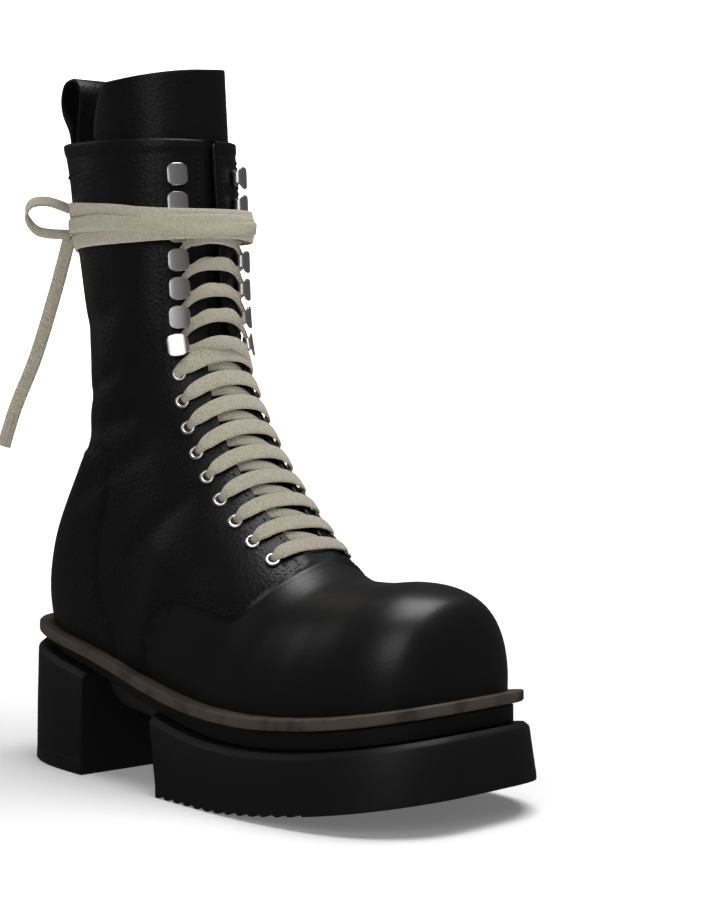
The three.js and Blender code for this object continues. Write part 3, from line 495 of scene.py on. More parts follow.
def relief(points, row):
    """How far the leather stands out at points of the upper, and how far inside the quarters they are."""
    flat = points[..., [0, 2]]
    x, y, z = points[..., 0], points[..., 1], points[..., 2]
    to_vamp = distance_to(flat, vamp_line) * np.where(inside(flat, quarter_area) & (row > 5.5), 1, -1)
    to_counter = distance_to(flat, counter_line) * np.where(inside(flat, counter_area), 1, -1)
    out = QUARTER * step(to_vamp, -0.5, 0.9) + COUNTER * step(to_counter, -0.5, 0.9)
    for edge in (to_vamp, to_counter):
        for line in STITCH_LINES:
            out = out - 0.28 * peak(edge - line, 0.7)
        out = out - 0.25 * peak(edge + 1.0, 0.9)
    out = out + 0.55 * step(COLLAR_FOLD - (COLLAR - z), 0, 1.2)
    for x0, z0, x1, z1, width, depth in CREASES:
        a, d = np.array([x0, z0]), np.array([x1 - x0, z1 - z0])
        t = ((flat - a) @ d) / (d @ d)
        off = np.linalg.norm(flat - (a + np.clip(t, 0, 1)[..., None] * d), axis=-1)
        out = out - depth * peak(off, width)
    waves = np.sin(x / 13 + 1.3 * np.sin(z / 19)) * np.sin(z / 16 + y / 21)
    waves = waves + 0.6 * np.sin(x / 7.3 - z / 9.1 + y / 11)
    out = out + 0.28 * (1 - step(x, 150, 225)) * waves
    beside_zip = np.abs(x - np.interp(z, zip_levels, zip_line))
    channel = (1 - step(beside_zip, ZIP_HALF, ZIP_HALF + 1.0)) * step(z, ZIP_FOOT - 1.5, ZIP_FOOT) * (y > 0)
    lip = peak(beside_zip - ZIP_HALF - 2.0, 1.3) * step(z, ZIP_FOOT - 4, ZIP_FOOT) * (y > 0)
    out = out + 0.5 * lip
    return out * (1 - channel) - ZIP_DEPTH * channel, to_vamp


# %% [markdown]
# The upper: a fine grid over the form, left open at the throat and cut off just below the top of the welt.
# MOUTH is how many points of each row lie in the throat, on either side of its middle.
# %% Upper
ROWS, AROUND, MOUTH = 300, 288, 14
RIM_STEPS = 7
rows = np.linspace(0, COLLAR_ROW, ROWS)
u = np.arange(AROUND) / AROUND
edge_u = MOUTH / AROUND
halves = [throat_turn(r) for r in rows]
turns = np.stack([np.interp(u, [0, edge_u, 1 - edge_u, 1], [0, t, 1 - t, 1]) for t in halves])
row_grid = np.repeat(rows[:, None], AROUND, 1)
base = bare(row_grid, turns)
normals = normal_at(row_grid, turns)
raised, to_vamp = relief(base, row_grid)
raised[-1] = raised[-2]
skin_points = base + normals * raised[..., None]
height = base[..., 2] - feather(base[..., 0])
cell = np.stack([height[:-1], height[1:], np.roll(height, -1, 1)[:-1], np.roll(height, -1, 1)[1:]]).max(0)
j = np.arange(AROUND)
mouth = (j[None] < MOUTH) | (j[None] >= AROUND - MOUTH)
open_here = mouth & (rows[:-1, None] >= THROAT_FOOT)
keep = (cell > -2.5) & ~open_here
on_quarter = (to_vamp[:-1] > 0)
points = skin_points.reshape(-1, 3)
rim_top = raised[-1] + 0.15
middle, radius = (rim_top - WALL) / 2, (rim_top + WALL) / 2
rim = []
for k in range(1, RIM_STEPS + 1):
    phi = math.pi * k / RIM_STEPS
    ring = base[-1] + normals[-1] * (middle + radius * math.cos(phi))[:, None]
    ring[:, 2] = COLLAR + radius * 0.8 * math.sin(phi)
    rim.append(ring)
quarter_faces = grid_faces(ROWS, AROUND, True, keep & on_quarter)
vamp_faces = grid_faces(ROWS, AROUND, True, keep & ~on_quarter)
rim_grid = np.stack([skin_points[-1]] + rim)
rim_keep = np.repeat(~mouth, len(rim_grid) - 1, 0)
tip_middle = skin_points[0].mean(0)
cap = []
for share in (0.1, 0.35, 0.6, 0.82):
    ring = tip_middle + (skin_points[0] - tip_middle) * share
    ring[:, 0] += 0.9 * (1 - share * share)
    cap.append(ring)
cap_grid = np.stack(cap + [skin_points[0]])
vamp_faces += [[i + len(points) for i in face] for face in grid_faces(len(cap_grid), AROUND, True)]
vamp_faces.append([i + len(points) for i in range(AROUND)])
points = np.concatenate([points, cap_grid.reshape(-1, 3)])
upper = make_mesh("upper_leather", points, vamp_faces + quarter_faces, smooth_leather)
upper.data.materials.append(grained_leather)
which = [0] * len(vamp_faces) + [1] * len(quarter_faces)
upper.data.polygons.foreach_set("material_index", which)
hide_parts("upper")
rim_faces = grid_faces(len(rim_grid), AROUND, True, rim_keep)
collar = make_mesh("collar_edge", rim_grid.reshape(-1, 3), rim_faces, grained_leather)
print("upper faces", len(upper.data.polygons))

# Lining
LINING_ROWS, LINING_ACROSS = 60, 90
lining_rows = np.linspace(8.2, COLLAR_ROW, LINING_ROWS)
halves = [throat_turn(r) for r in lining_rows]
lining_turn = np.stack([np.linspace(t, 1 - t, LINING_ACROSS) for t in halves])
lining_points = skin(np.repeat(lining_rows[:, None], LINING_ACROSS, 1), lining_turn, -WALL)
lining_faces = [face[::-1] for face in grid_faces(LINING_ROWS, LINING_ACROSS)]
lining = make_mesh("lining", lining_points.reshape(-1, 3), lining_faces, lining_leather)

# The throat's edge is a turned edge that goes up both sides and across its foot
edge_rows = np.linspace(THROAT_FOOT, COLLAR_ROW, 90)
half = [throat_turn(r) for r in edge_rows]
line = [(r, t) for r, t in zip(edge_rows[::-1], half[::-1])]
line += [(THROAT_FOOT, t) for t in np.linspace(half[0], -half[0], 12)[1:-1]]
line += [(r, -t) for r, t in zip(edge_rows, half)]
line = np.array(line)
edge_path = skin(line[:, 0], line[:, 1], (QUARTER - WALL) / 2)
edge_sweep = sweep(edge_path, normal_at(line[:, 0], line[:, 1]), oval(1.25, 1.72, 12))
piping = outwards(make_mesh("throat_edge", *edge_sweep[:2], grained_leather))


# %% [markdown]
# Stitches lie in rows beside the seams and the throat and below the collar, each a short thread.
# %% Stitches
STITCH_LIFT = 0.1


def on_leather(row, turn):
    """Points just above the leather, and their normals."""
    here = bare(row, turn)
    n = normal_at(row, turn)
    out, _ = relief(here, row)
    return here + n * (out + STITCH_LIFT)[:, None], n


def stitch_row(path, ups, length=2.3, gap=1.0, radius=0.33):
    """Threads one after the other, each with its ends sunk into the leather."""
    gone = run_of(path)
    ring = oval(radius, radius, 6)
    sizes = [(0.5, 0.5), (1, 1), (1.05, 1.05), (1, 1), (0.5, 0.5)]
    parts = []
    for s in np.arange(0.5, gone[-1] - length, length + gap):
        a, b = [np.array([np.interp(v, gone, path[:, k]) for k in range(3)]) for v in (s, s + length)]
        up = unit(np.array([np.interp(s, gone, ups[:, k]) for k in range(3)]))
        sunk = up * radius * 0.8
        raised_middle = (a + b) / 2 + up * radius * 0.25
        stations = [a - sunk, a + (b - a) * 0.2, raised_middle, a + (b - a) * 0.8, b - sunk]
        parts.append(sweep(stations, [up] * len(stations), ring, scale=sizes))
    return parts


def beside(line, distance):
    """A line in side view moved to its left by a distance."""
    tangent = unit(np.gradient(line, axis=0))
    return line + np.stack([-tangent[:, 1], tangent[:, 0]], -1) * distance


EYESTAY_STITCHES = ((3.2, 8.1), (26.0, 9.6))
threads = []
for side in (1, -1):
    for line, way in ((vamp_line, -1), (counter_line, 1)):
        for distance in STITCH_LINES:
            moved = beside(line, way * distance)
            moved = moved[moved[:, 1] > feather(moved[:, 0]) + 1]
            found = np.array([side_at(x, z, side) for x, z in moved[1:]])
            threads += stitch_row(*on_leather(found[:, 0], found[:, 1]))
    for from_edge, first in EYESTAY_STITCHES:
        stitch_rows = np.linspace(first, 16.8, 120)
        stitch_turns = np.array([throat_turn(r, from_edge) for r in stitch_rows]) * side
        threads += stitch_row(*on_leather(stitch_rows, stitch_turns))
ring_turns = np.linspace(0.09, 0.91, 200)
ring_row = COLLAR_ROW - 8.2 / 27
ring_path = skin(ring_row, ring_turns, QUARTER + STITCH_LIFT)
threads += stitch_row(ring_path, normal_at(ring_row, ring_turns))
stitches = make_mesh("stitches", *join(threads)[:2], thread)
print("stitches", len(threads))

# %% [markdown]
# The sole: the outline of the upper at the feather line, moved outwards ring by ring.
# %% Sole
SOLE_POINTS = 400
CHORD = 12
WELT_THICK, SEAT_GAP = 6.0, 0.3


def soften(points, times):
    """A closed row of points, each moved towards its neighbours."""
    for _ in range(times):
        points = points * 0.5 + (np.roll(points, 1, 0) + np.roll(points, -1, 0)) * 0.25
    return points


def feather_outline():
    """Points round the line where the upper meets the sole, seen from above."""
    turns_tried = np.linspace(0, 0.5, 300)
    sides = []
    for side in (1, -1):
        found = []
        for row in np.linspace(0, 13.5, 400):
            p = bare(row, side * turns_tried)
            h = p[:, 2] - feather(p[:, 0])
            cross = np.where((h[:-1] > 0) & (h[1:] <= 0))[0]
            if len(cross):
                k = cross[0]
                found.append(p[k] + (p[k + 1] - p[k]) * h[k] / (h[k] - h[k + 1]))
        sides.append(np.array(found)[:, :2])
    tip, heel = (sides[0][0] + sides[1][0]) / 2, (sides[0][-1] + sides[1][-1]) / 2

    def spread(points):
        path = np.concatenate([[tip], points, [heel]])
        gone = run_of(path)
        at = np.linspace(0, gone[-1], SOLE_POINTS // 2 + 1)
        return np.stack([np.interp(at, gone, path[:, k]) for k in range(2)], -1)

    return np.concatenate([spread(sides[0]), spread(sides[1])[::-1][1:-1]])


outline = soften(feather_outline(), 6)
chord = unit(np.roll(outline, -CHORD, 0) - np.roll(outline, CHORD, 0))
away = np.stack([chord[:, 1], -chord[:, 0]], -1)
if away[0, 0] < 0:
    away = -away
for _ in range(20):
    away = unit(soften(away, 1))


def slab(name, rings, material, clamp=None):
    """A layer of the sole from rings of (out, z), from the top down. z is a function of x, and so is out
    where it isn't a number. The end faces are strips from side to side."""
    half_way = SOLE_POINTS // 2
    at = []
    for out, z in rings:
        reach_out = out(outline[:, 0])[:, None] if callable(out) else out
        q = outline + away * reach_out
        if clamp:
            q = clamp(q, z)
        at.append(np.column_stack([q, z(q[:, 0])]))
    points = np.concatenate(at)
    faces = grid_faces(len(rings), SOLE_POINTS, True)
    for start in (0, (len(rings) - 1) * SOLE_POINTS):
        stop = start + SOLE_POINTS
        faces += [[start, start + 1, stop - 1]]
        faces += [[start + i, start + i + 1, stop - i - 1, stop - i] for i in range(1, half_way - 1)]
        faces += [[start + half_way - 1, start + half_way, start + half_way + 1]]
    made = outwards(make_mesh(name, points, faces, material, smooth=False))
    bpy.ops.object.shade_smooth_by_angle(angle=math.radians(38))
    return made


def moved_by(line, by):
    """A function of x that gives another one moved by a distance."""
    return lambda x: line(x) + by


def flat_at(height):
    """A function of x that gives the same height everywhere."""
    return lambda x: x * 0 + height


def welt_out(x):
    """How far the welt stands out, which is more at the back of the heel."""
    return 8.0 + 4.0 * np.clip(1 - x / (0.12 * LAST), 0, 1)


def welt_top(x):
    return feather(x) - SEAT_GAP


MIDSOLE = [(-0.06, 0.5), (0.1, 0.6), (0.25, 0.75), (0.42, 0.8), (0.6, 1.0), (1.1, 1.0)]


def midsole_top(x):
    return welt_top(x) - (WELT_THICK + SEAT_GAP)


def midsole_bottom(x):
    return midsole_top(x) - 9.5 * along(MIDSOLE, x / LAST)


def block_top(x):
    return midsole_bottom(x) - SEAT_GAP


WELT_EDGE = [(-2.0, 0.0), (-0.7, -0.2), (0.0, -0.9), (0.1, -3.0), (0.0, -5.1), (-0.7, -5.8),
             (-2.0, -WELT_THICK)]
welt_rings = [(-5.0, welt_top), (0.0, welt_top)]
welt_rings += [(moved_by(welt_out, out), moved_by(welt_top, up)) for out, up in WELT_EDGE]
welt_rings += [(-5.0, moved_by(welt_top, -WELT_THICK))]
welt = slab("welt_strip", welt_rings, welt_edge)
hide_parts("welt")
midsole = slab("midsole_layer", [(2.2, midsole_top), (3.0, moved_by(midsole_top, -0.8)),
                                 (3.0, moved_by(midsole_bottom, 0.8)), (2.2, midsole_bottom)], rubber)
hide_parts("midsole")

FORE_START, UNDERCUT, GROOVE, PITCH, NOTCHES = 126.0, 13.0, 2.4, 8.4, 13
BLOCK_TOP_EDGE = [(8.2, block_top), (10.6, moved_by(block_top, -2.2)), (11.0, moved_by(block_top, -3.2))]


def ground_line(x):
    """The height of the forefoot's underside, which rises at the toe."""
    return 15.0 * np.clip((x / LAST - 0.6) / 0.4, 0, 1.3) ** 1.5


def ground(x):
    """The same underside, with the notches of its toothed edge."""
    wave = np.abs(((x - FORE_START - UNDERCUT) / PITCH - 0.6) % 1 - 0.5) * 2
    notch = GROOVE * np.clip((wave - 0.42) / 0.5, 0, 1) * (x < FORE_START + UNDERCUT + NOTCHES * PITCH)
    return ground_line(x) + notch


def clamp_front(q, z):
    """Cuts a ring off at the back of the forefoot block, which leans forward towards the floor."""
    level = z(q[:, 0])
    rear = FORE_START + UNDERCUT * (1 - np.clip(level / BALL_STACK, 0, 1))
    q = q.copy()
    q[:, 0] = np.maximum(q[:, 0], rear)
    return q


forefoot = slab("forefoot_block", BLOCK_TOP_EDGE + [
    (12.6, lambda x: block_top(x) * 0.5 + ground_line(x) * 0.5), (14.3, moved_by(ground_line, GROOVE + 1.0)),
    (14.5, moved_by(ground, 0.3)), (14.2, ground)], rubber, clamp_front)
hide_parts("outsole_forefoot")


def heel_breast(y):
    """How far forward the heel block reaches; its front is cut a little aslant."""
    return 71.0 + 18.0 * (y / (2 * BALL_WIDTH))


def clamp_heel(q, z):
    """Cuts a ring off at the front of the heel block."""
    q = q.copy()
    beyond = q[:, 0] > heel_breast(q[:, 1])
    edges = [q[i, 1] for i in range(SOLE_POINTS) if beyond[i] != beyond[i - 1]]
    q[beyond, 1] = np.clip(q[beyond, 1], min(edges), max(edges))
    q[beyond, 0] = heel_breast(q[beyond, 1])
    return q


HEEL_FOOT = [(12.2, 8.6), (11.7, 8.1), (12.2, 7.6), (12.5, 0.8), (11.9, 0.0)]
heel_rings = BLOCK_TOP_EDGE + [(11.8, lambda x: block_top(x) * 0.5)]
heel_rings += [(out, flat_at(height)) for out, height in HEEL_FOOT]
heel = slab("heel_lift", heel_rings, rubber, clamp_heel)
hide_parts("heel_block")


# %% [markdown]
# Where the fasteners sit, then the eyelets, each with a flat disc of lining leather as painted shade of its
# hole, and the hooks.
# %% Fasteners
HOOKS, EYELETS = 7, 9
FIRST_FASTENER, FASTENER_PITCH = 17.5, 14.8
EYELET_POINTS, HOLE_POINTS = 32, 16
SIDES = ((1, "outer"), (-1, "inner"))


def fastener_places(side):
    """The row and the turn of each fastener, from the top down."""
    r = np.arange(COLLAR_ROW, 7.9, -0.01)
    t = np.array([turn_at(v, float(along(EYESTAY, v))) for v in r[::10]])
    t = np.interp(r, r[::10][::-1], t[::-1]) * side
    gone = run_of(bare(r, t))
    at = FIRST_FASTENER + FASTENER_PITCH * np.arange(HOOKS + EYELETS)
    return [(float(np.interp(a, gone, r)), float(np.interp(a, gone, t))) for a in at]


def local_frame(place, side):
    """Place, direction to the throat, direction up the eyestay, and outward normal."""
    row, turn = place
    normal = normal_at(row, turn)
    up = bare(row + 0.1, turn) - bare(row - 0.1, turn)
    up = unit(up - normal * (up @ normal))
    return bare(row, turn), unit(np.cross(up, normal)) * side, up, normal


def circle_at(place, side, lift, radius, count):
    """Points of a circle round a fastener's place, and the normal there."""
    c, x, y, z = local_frame(place, side)
    a = np.linspace(0, 2 * math.pi, count + 1)[:-1]
    return c + z * (SEAT + lift) + (x * np.cos(a)[:, None] + y * np.sin(a)[:, None]) * radius, z


places = {side: fastener_places(side) for side, _ in SIDES}
for side, label in SIDES:
    rings = []
    hole_shade_discs = []
    for place in places[side][HOOKS:]:
        path, normal = circle_at(place, side, 0.35, 3.0, EYELET_POINTS)
        rings.append(sweep(path, [normal] * EYELET_POINTS, oval(0.95, 0.85, 10), closed=True))
        # The leather is not cut at the eyelets: a flat matte disc of lining leather inside each ring is
        # painted shade that stands in for the hole.
        disc, _ = circle_at(place, side, 0.1, 2.5, HOLE_POINTS)
        hole_shade_discs.append((disc, [list(range(HOLE_POINTS))], np.zeros((HOLE_POINTS, 2))))
    made = outwards(make_mesh(f"eyelet_rings_{label}", *join(rings)[:2], metal))
    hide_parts(*[f"eyelet_{label}_{i}" for i in range(1, EYELETS + 1)])
    make_mesh(f"eyelet_hole_shades_{label}", *join(hole_shade_discs)[:2], lining_leather)

# Stations of a hook, as (to the throat, out, half width), and the section of its plate
HOOK_LINE = [(-3.6, 0.55, 3.4), (0, 0.55, 4.4), (2.4, 0.55, 4.0), (4.2, 0.9, 3.2), (4.95, 2.2, 2.9),
             (4.9, 3.4, 3.2), (4.2, 4.5, 4.3), (2.6, 4.85, 5.4), (0, 4.9, 5.75), (-2.6, 4.8, 5.7),
             (-4.4, 4.65, 5.0), (-5.2, 4.5, 3.9), (-5.5, 4.4, 2.6)]
HOOK_SECTION = [(-1, -0.3), (-0.96, -0.55), (0.96, -0.55), (1, -0.3), (1, 0.3), (0.96, 0.55), (-0.96, 0.55),
                (-1, 0.3)]


def hook_form(place, side):
    """A folded hook: foot, narrow neck and a rounded plate that reaches away from the throat."""
    c, x, y, z = local_frame(place, side)
    line = smooth_path(HOOK_LINE, 3)
    path = c + z * (SEAT + 0.35) + x * line[:, :1] + z * line[:, 1:2]
    tangent = unit(np.gradient(path, axis=0))
    ups = unit(np.cross(tangent, np.broadcast_to(y, path.shape)))
    return sweep(path, ups, HOOK_SECTION, scale=np.column_stack([line[:, 2], np.ones(len(line))]))


for side, label in SIDES:
    hooks = join([hook_form(place, side) for place in places[side][:HOOKS]])
    made = outwards(make_mesh(f"speed_hooks_{label}", *hooks[:2], metal, smooth=False))
    bpy.ops.object.shade_smooth_by_angle(angle=math.radians(35))
    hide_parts(*[f"hook_{label}_{i}" for i in range(1, HOOKS + 1)])

# %% [markdown]
# The lace is a flat band. Bars lie over the lower rows, two strands cross up the hooks, and the rest goes
# round the shaft to a small bow behind, with one loop and one hanging end.
# %% Lace
band = [(-1, 0), (-0.93, -0.7), (-0.6, -1), (0, -1.05), (0.6, -1), (0.93, -0.7), (1, 0), (0.93, 0.7),
        (0.6, 1), (0, 1.05), (-0.6, 1), (-0.93, 0.7)]
LACE_THICK = 1.5


def ribbon(stations, steps=8):
    """A band through stations of (row, turn, out, share of the width), thicker where it is narrow."""
    s = smooth_path(stations, steps)
    path = skin(s[:, 0], s[:, 1], s[:, 2])
    ups = normal_at(s[:, 0], s[:, 1])
    half_thick = LACE_THICK / 2 * np.clip(1.5 - 0.5 * s[:, 3], 1, 2)
    p, f, uv = sweep(path, ups, band, scale=np.column_stack([s[:, 3] * LACE / 2, half_thick]))
    uv[:, 1] *= LACE / 2
    return p, f, uv


# Stations of a bar, as (share of the way across, out, share of the width)
BAR = [(0.0, 0.2, 0.45), (0.05, 2.8, 0.62), (0.12, 3.4, 0.92), (0.3, 2.6, 1.0), (0.5, 1.7, 1.0),
       (0.7, 2.6, 1.0), (0.88, 3.4, 0.92), (0.95, 2.8, 0.62), (1.0, 0.2, 0.45)]
UNDER_BAR = [(share, -0.7, 0.8) for share in (0.22, 0.4, 0.6, 0.78)]


def bar_between(one, other, stations):
    """A band from one fastener's place to another."""
    (r0, t0), (r1, t1) = one, other
    return ribbon([(r0 + (r1 - r0) * s, t0 + (t1 - t0) * s, out, wide) for s, out, wide in stations])


bars = []
for i in range(HOOKS, HOOKS + EYELETS):
    bars.append(bar_between(places[1][i], places[-1][i], BAR))
    if i < HOOKS + EYELETS - 1:
        bars.append(bar_between(places[1][i], places[-1][i + 1], UNDER_BAR))
p, f, uv = join(bars)
made = outwards(make_mesh("lace_over_eyelets", p, f, lace_cloth, uv))
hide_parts("lace_bars")

# Stations round a hook, as (steps up the eyestay, millimetres to the throat, out, share of the width)
ROUND_HOOK = [(-1.3, 8.5, 3.0, 0.5), (-0.4, 0.6, 4.0, 0.36), (0.4, 0.6, 4.0, 0.36), (1.3, 8.5, 3.0, 0.5)]
HOOK_STEP = 0.2
strands = []
for first, lift in ((1, 0.0), (-1, 1.0)):
    side = first
    r, t = places[side][HOOKS]
    stations = [(r, t, 0.3, 0.45), (r + 0.05, t * 0.93, 3.2, 0.8)]
    for i in range(HOOKS - 1, 1, -1):
        r0, t0 = stations[-1][:2]
        side = -side
        r, t = places[side][i]
        per = side * (turn_at(r, 10) / 10)
        stations.append((r0 * 0.42 + r * 0.58 - HOOK_STEP * 0.5, (t0 + t) / 2, 2.2 + lift * 1.6, 0.85))
        stations += [(r + HOOK_STEP * up, t - per * aside, out, wide) for up, aside, out, wide in ROUND_HOOK]
    strands.append(ribbon(stations, steps=7))
p, f, uv = join(strands)
made = outwards(make_mesh("lace_up_hooks", p, f, lace_cloth, uv))
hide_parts("lace_crossings")


def row_at(z, turn):
    """The row that has a height at a turn of the shaft."""
    low, high = np.full(np.shape(turn), 10.0), np.full(np.shape(turn), float(LAST_ROW))
    for _ in range(ROW_HALVINGS):
        row = (low + high) / 2
        below = bare(row, turn)[..., 2] < z
        low, high = np.where(below, row, low), np.where(below, high, row)
    return (low + high) / 2


# Turns of the lace round the shaft, as (height, rise to the front, lift, share of the width, dip behind)
LACE_TURNS = [(297.4, -3.0, 0.1, 1.0, 0.0), (291.0, 0.6, 1.0, 1.0, 0.0), (284.0, 3.4, 0.1, 1.0, 0.0),
              (292.0, -3.4, 1.5, 0.85, 5.0)]
TURN_POINTS = 122
wraps = []
turn = 0.62 + np.linspace(0, 1.003, TURN_POINTS)
ahead = np.cos(turn * 2 * np.pi)
front = np.clip((ahead - 0.3) / 0.45, 0, 1)
over_throat = front * front * (3 - 2 * front) * 6.0
for middle, tilt, lift, wide, dip in LACE_TURNS:
    level = middle + tilt * ahead - front - dip * np.clip(-ahead, 0, 1)
    wobble = 0.35 * np.sin(turn * 19 + middle)
    path = skin(row_at(level + wobble, turn), turn, SEAT + 1.0 + lift + over_throat)
    n = normal_at(row_at(level, turn), turn)
    n[:, 2] += 0.16 * np.sin(turn * 23 + middle * 3)
    scale = np.column_stack([np.full(TURN_POINTS, LACE / 2 * wide), np.full(TURN_POINTS, 0.85)])
    p, f, uv = sweep(path, unit(n), band, scale=scale)
    uv[:, 1] *= LACE / 2
    wraps.append((p, f, uv))
p, f, uv = join(wraps)
made = outwards(make_mesh("lace_turns", p, f, lace_cloth, uv))
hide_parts("lace_wrap")

LOOP = [(-2.5, 9), (9, 13), (18, 12), (20.5, 5), (14, -3), (-2.5, -4.5)]
END = [(-2.3, -5), (6, -36), (16.5, -70), (27, -96), (34, -118)]
KNOT_HEIGHT, KNOT_TURN = 291.0, 0.375
AGLET_POINTS = 8
start_row = float(row_at(KNOT_HEIGHT, np.array(KNOT_TURN)))
leave = normal_at(start_row, KNOT_TURN)
leave = unit(np.array([leave[0], leave[1], 0]))
cord_from = skin(start_row, KNOT_TURN, SEAT + 4.8)
sideways = np.array([leave[1], -leave[0], 0])


def hanging(name, route, width, node, across):
    """A flat band along a route of (out, up) from the knot; across is the direction of its width."""
    s = smooth_path(route, 9)
    path = np.column_stack([cord_from[:2] + leave[:2] * s[:, :1], KNOT_HEIGHT + s[:, 1]])
    scale = np.column_stack([np.full(len(s), width / 2), np.full(len(s), 0.8)])
    p, f, uv = sweep(path, unit(np.cross(np.gradient(path, axis=0), across)), band, scale=scale)
    uv[:, 1] *= width / 2
    made = outwards(make_mesh(name, p, f, lace_cloth, uv))
    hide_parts(node)
    length = float(np.linalg.norm(np.diff(path, axis=0), axis=1).sum())
    return made, (path + SHIFT) / 1000, length / 1000


hanging("bow_loop", LOOP, 7.6, "lace_loop", sideways * 0.75 + np.array([0, 0, 0.66]))
end, end_path, end_length = hanging("lace_tail", END, 7.2, "lace_end", np.array([0.66, 0.75, 0.0]))
aglet_tip = new_material("aglet", (0.40, 0.36, 0.29), 0.3)
aglet_path = end_path[-AGLET_POINTS:] * 1000 - SHIFT
aglet_sweep = sweep(aglet_path, [[0.75, -0.66, 0.0]] * AGLET_POINTS, oval(1.7, 1.5, 12))
aglet = outwards(make_mesh("aglet", *aglet_sweep[:2], aglet_tip))

# %% [markdown]
# The tongue stands behind the throat and above the collar. The pull loop is a folded strap at the back of the
# collar.
# %% Tongue and pull loop
TONGUE_OUTER = [(8.3, 20), (9, 27), (11, 32), (13, 33), (15, 40), (16, 54), (17, 72), (18.0, 68), (18.4, 63)]
TONGUE_INNER = [(8.3, 20), (9, 27), (11, 32), (13, 33), (15, 38), (16, 43), (17, 47), (18.4, 44)]
TONGUE_SLANT = 0.3
TONGUE_FOOT, TONGUE_ROWS, TONGUE_ACROSS = 8.3, 150, 48
top_row = COLLAR_ROW + 40 / 28.4
across = np.linspace(0, 1, TONGUE_ACROSS)
swell = 0.5 * np.sin(np.pi * across) ** 0.5
rings = []
for r in np.linspace(TONGUE_FOOT, top_row, TONGUE_ROWS):
    t = turn_at(r, float(along(TONGUE_INNER, r)), -1)
    t = t + (turn_at(r, float(along(TONGUE_OUTER, r))) - t) * across
    rr = r - TONGUE_SLANT * np.clip((r - COLLAR_ROW) / (top_row - COLLAR_ROW), 0, 1) * across ** 1.6
    front_side = skin(rr, t, -2.8 + swell * (1 if r > 16.6 else 0.0))
    back_side = skin(rr, t, -5.2)
    rings.append(np.concatenate([front_side, back_side[::-1]]))
points = np.concatenate(rings)
ring_size = 2 * TONGUE_ACROSS
faces = grid_faces(TONGUE_ROWS, ring_size, True)
for first in (0, (TONGUE_ROWS - 1) * ring_size):
    last = first + ring_size - 1
    faces += [[first + q, first + q + 1, last - q - 1, last - q] for q in range(TONGUE_ACROSS - 1)]
tongue = outwards(make_mesh("tongue_leather_piece", points, faces, tongue_leather, smooth=False))
bevel = tongue.modifiers.new("round", "BEVEL")
bevel.width = 0.0009
bevel.segments = 3
bevel.limit_method = "ANGLE"
bevel.angle_limit = math.radians(50)
bpy.context.view_layer.objects.active = tongue
bpy.ops.object.modifier_apply(modifier="round")
bpy.ops.object.shade_smooth_by_angle(angle=math.radians(40))
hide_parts("tongue")

STRAP = [(-2.2, 0.8), (-4.2, 10), (-9.8, 20), (-10.9, 29), (-7.5, 36.2), (0.5, 37.4), (4.6, 31), (4.2, 21),
         (3.0, 11), (2.2, 0.8)]
STRAP_SECTION = [(-12, 0), (-11.7, -0.8), (-11, -1.1), (11, -1.1), (11.7, -0.8), (12, 0), (11.7, 0.8),
                 (11, 1.1), (-11, 1.1), (-11.7, 0.8)]
back_point = skin(COLLAR_ROW, 0.5, -WALL / 2)
strap = smooth_path(STRAP, 8)
strap_y = np.full(len(strap), back_point[1] - 3.0)
path = np.column_stack([back_point[0] + strap[:, 0], strap_y, COLLAR + 0.3 + strap[:, 1]])
ups = unit(np.cross(unit(np.gradient(path, axis=0)), np.array([0.0, 1.0, 0.0])))
pull = outwards(make_mesh("pull_strap", *sweep(path, ups, STRAP_SECTION)[:2], grained_leather, smooth=False))
bpy.ops.object.shade_smooth_by_angle(angle=math.radians(40))
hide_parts("pull_loop")

# %% [markdown]
# The zip keeps its CAD tape, slider and tab; its teeth are two rows of small blocks.
# %% Zip
TOOTH_PITCH, TOOTH_ASIDE = 1.15, 0.9
TOOTH_HALF = (1.3, 0.36, 0.6)
CORNERS = [(a, b, d) for d in (-1, 1) for a, b in ((-1, -1), (1, -1), (1, 1), (-1, 1))]
BLOCK_FACES = [[0, 3, 2, 1], [4, 5, 6, 7], [0, 1, 5, 4], [1, 2, 6, 5], [2, 3, 7, 6], [3, 0, 4, 7]]
teeth = []
for z in np.arange(134.5, 319, TOOTH_PITCH):
    for level, offset in ((z, -TOOTH_ASIDE), (z + 0.57, TOOTH_ASIDE)):
        row, turn_here = side_at(zip_x(level) + offset, level, -1)
        n = normal_at(row, turn_here)
        c = bare(row, turn_here) + n * 0.4
        y = unit(np.cross(n, np.array([0.0, 0, 1.0])))
        axes = np.stack([y, unit(np.cross(y, n)), n])
        teeth.append((c + (np.array(CORNERS) * TOOTH_HALF) @ axes, BLOCK_FACES, np.zeros((8, 2))))
made = outwards(make_mesh("zip_tooth_rows", *join(teeth)[:2], metal, smooth=False))
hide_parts("zip_teeth")
finish = {"insole": lining_leather, "zip_tape": tape, "zip_slider": metal, "zip_pull": metal}
for name, material in finish.items():
    for material_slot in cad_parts[name].material_slots:
        material_slot.material = material

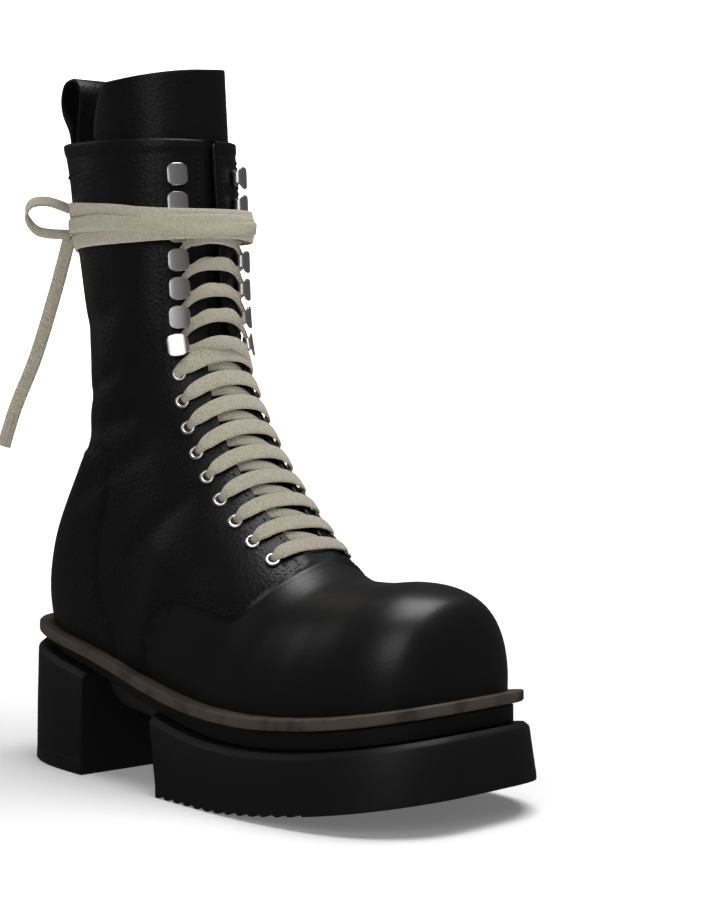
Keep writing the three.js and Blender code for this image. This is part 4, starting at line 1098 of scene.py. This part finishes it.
# %% [markdown]
# A pale floor that glows more the farther it lies, and a pale wall far behind. Soft light falls from above,
# from the camera's side and from the left. The room is dim, so that the black leather stays black.
# %% Studio
WALL_AWAY = 3.4
AIM = Vector((0, 0, 0.15))
bpy.ops.mesh.primitive_plane_add(size=16, location=(0, 0, 0))
floor = bpy.context.object
floor.name = "floor"
paving = new_material("floor", (0.9, 0.9, 0.9), 0.9, shine=0.1)
paving_nodes, paving_links = paving.node_tree.nodes, paving.node_tree.links
paving_coords = paving_nodes.new("ShaderNodeTexCoord")
far = paving_nodes.new("ShaderNodeVectorMath")
far.operation = "LENGTH"
paving_links.new(paving_coords.outputs["Object"], far.inputs[0])
glow = paving_nodes.new("ShaderNodeMapRange")
glow.inputs["From Min"].default_value = 0.25
glow.inputs["From Max"].default_value = 1.4
glow.inputs["To Min"].default_value = 0.14
glow.inputs["To Max"].default_value = 1.0
paving_links.new(far.outputs["Value"], glow.inputs["Value"])
paving_shader = paving_nodes["Principled BSDF"]
paving_shader.inputs["Emission Color"].default_value = (1, 1, 1, 1)
paving_links.new(glow.outputs["Result"], paving_shader.inputs["Emission Strength"])
floor.data.materials.append(paving)
floor.visible_glossy = False
wall_place = Vector(-back) * WALL_AWAY
bpy.ops.mesh.primitive_plane_add(size=10, location=(wall_place.x, wall_place.y, 2.0))
backdrop = bpy.context.object
backdrop.name = "backdrop"
backdrop.rotation_euler = (math.radians(90), 0, azimuth)
bpy.ops.object.transform_apply(location=True, rotation=True, scale=True)
bright = new_material("backdrop", (0.9, 0.9, 0.9), 1.0, shine=0.0)
bright_shader = bright.node_tree.nodes["Principled BSDF"]
bright_shader.inputs["Emission Color"].default_value = (1, 1, 1, 1)
bright_shader.inputs["Emission Strength"].default_value = 1.0
backdrop.data.materials.append(bright)
backdrop.visible_glossy = False
backdrop.visible_diffuse = False
world = bpy.data.worlds.new("studio")
scene.world = world
world.use_nodes = True
sky = world.node_tree.nodes["Background"]
sky.inputs["Color"].default_value = (1, 1, 1, 1)
sky.inputs["Strength"].default_value = 0.075


def lamp(name, place, size, power):
    """A square soft light that is aimed at the boot."""
    bpy.ops.object.light_add(type="AREA", location=place)
    light = bpy.context.object
    light.name = name
    light.data.size = size
    light.data.energy = power
    light.rotation_euler = (AIM - Vector(place)).to_track_quat("-Z", "Y").to_euler()


lamp("top", (0.35, 0.25, 2.1), 1.5, 44)
lamp("left", (-1.7, -0.8, 1.0), 1.0, 2.4)
lamp("front", (1.2, -1.7, 1.3), 1.3, 11)
scene.view_settings.view_transform = "Standard"
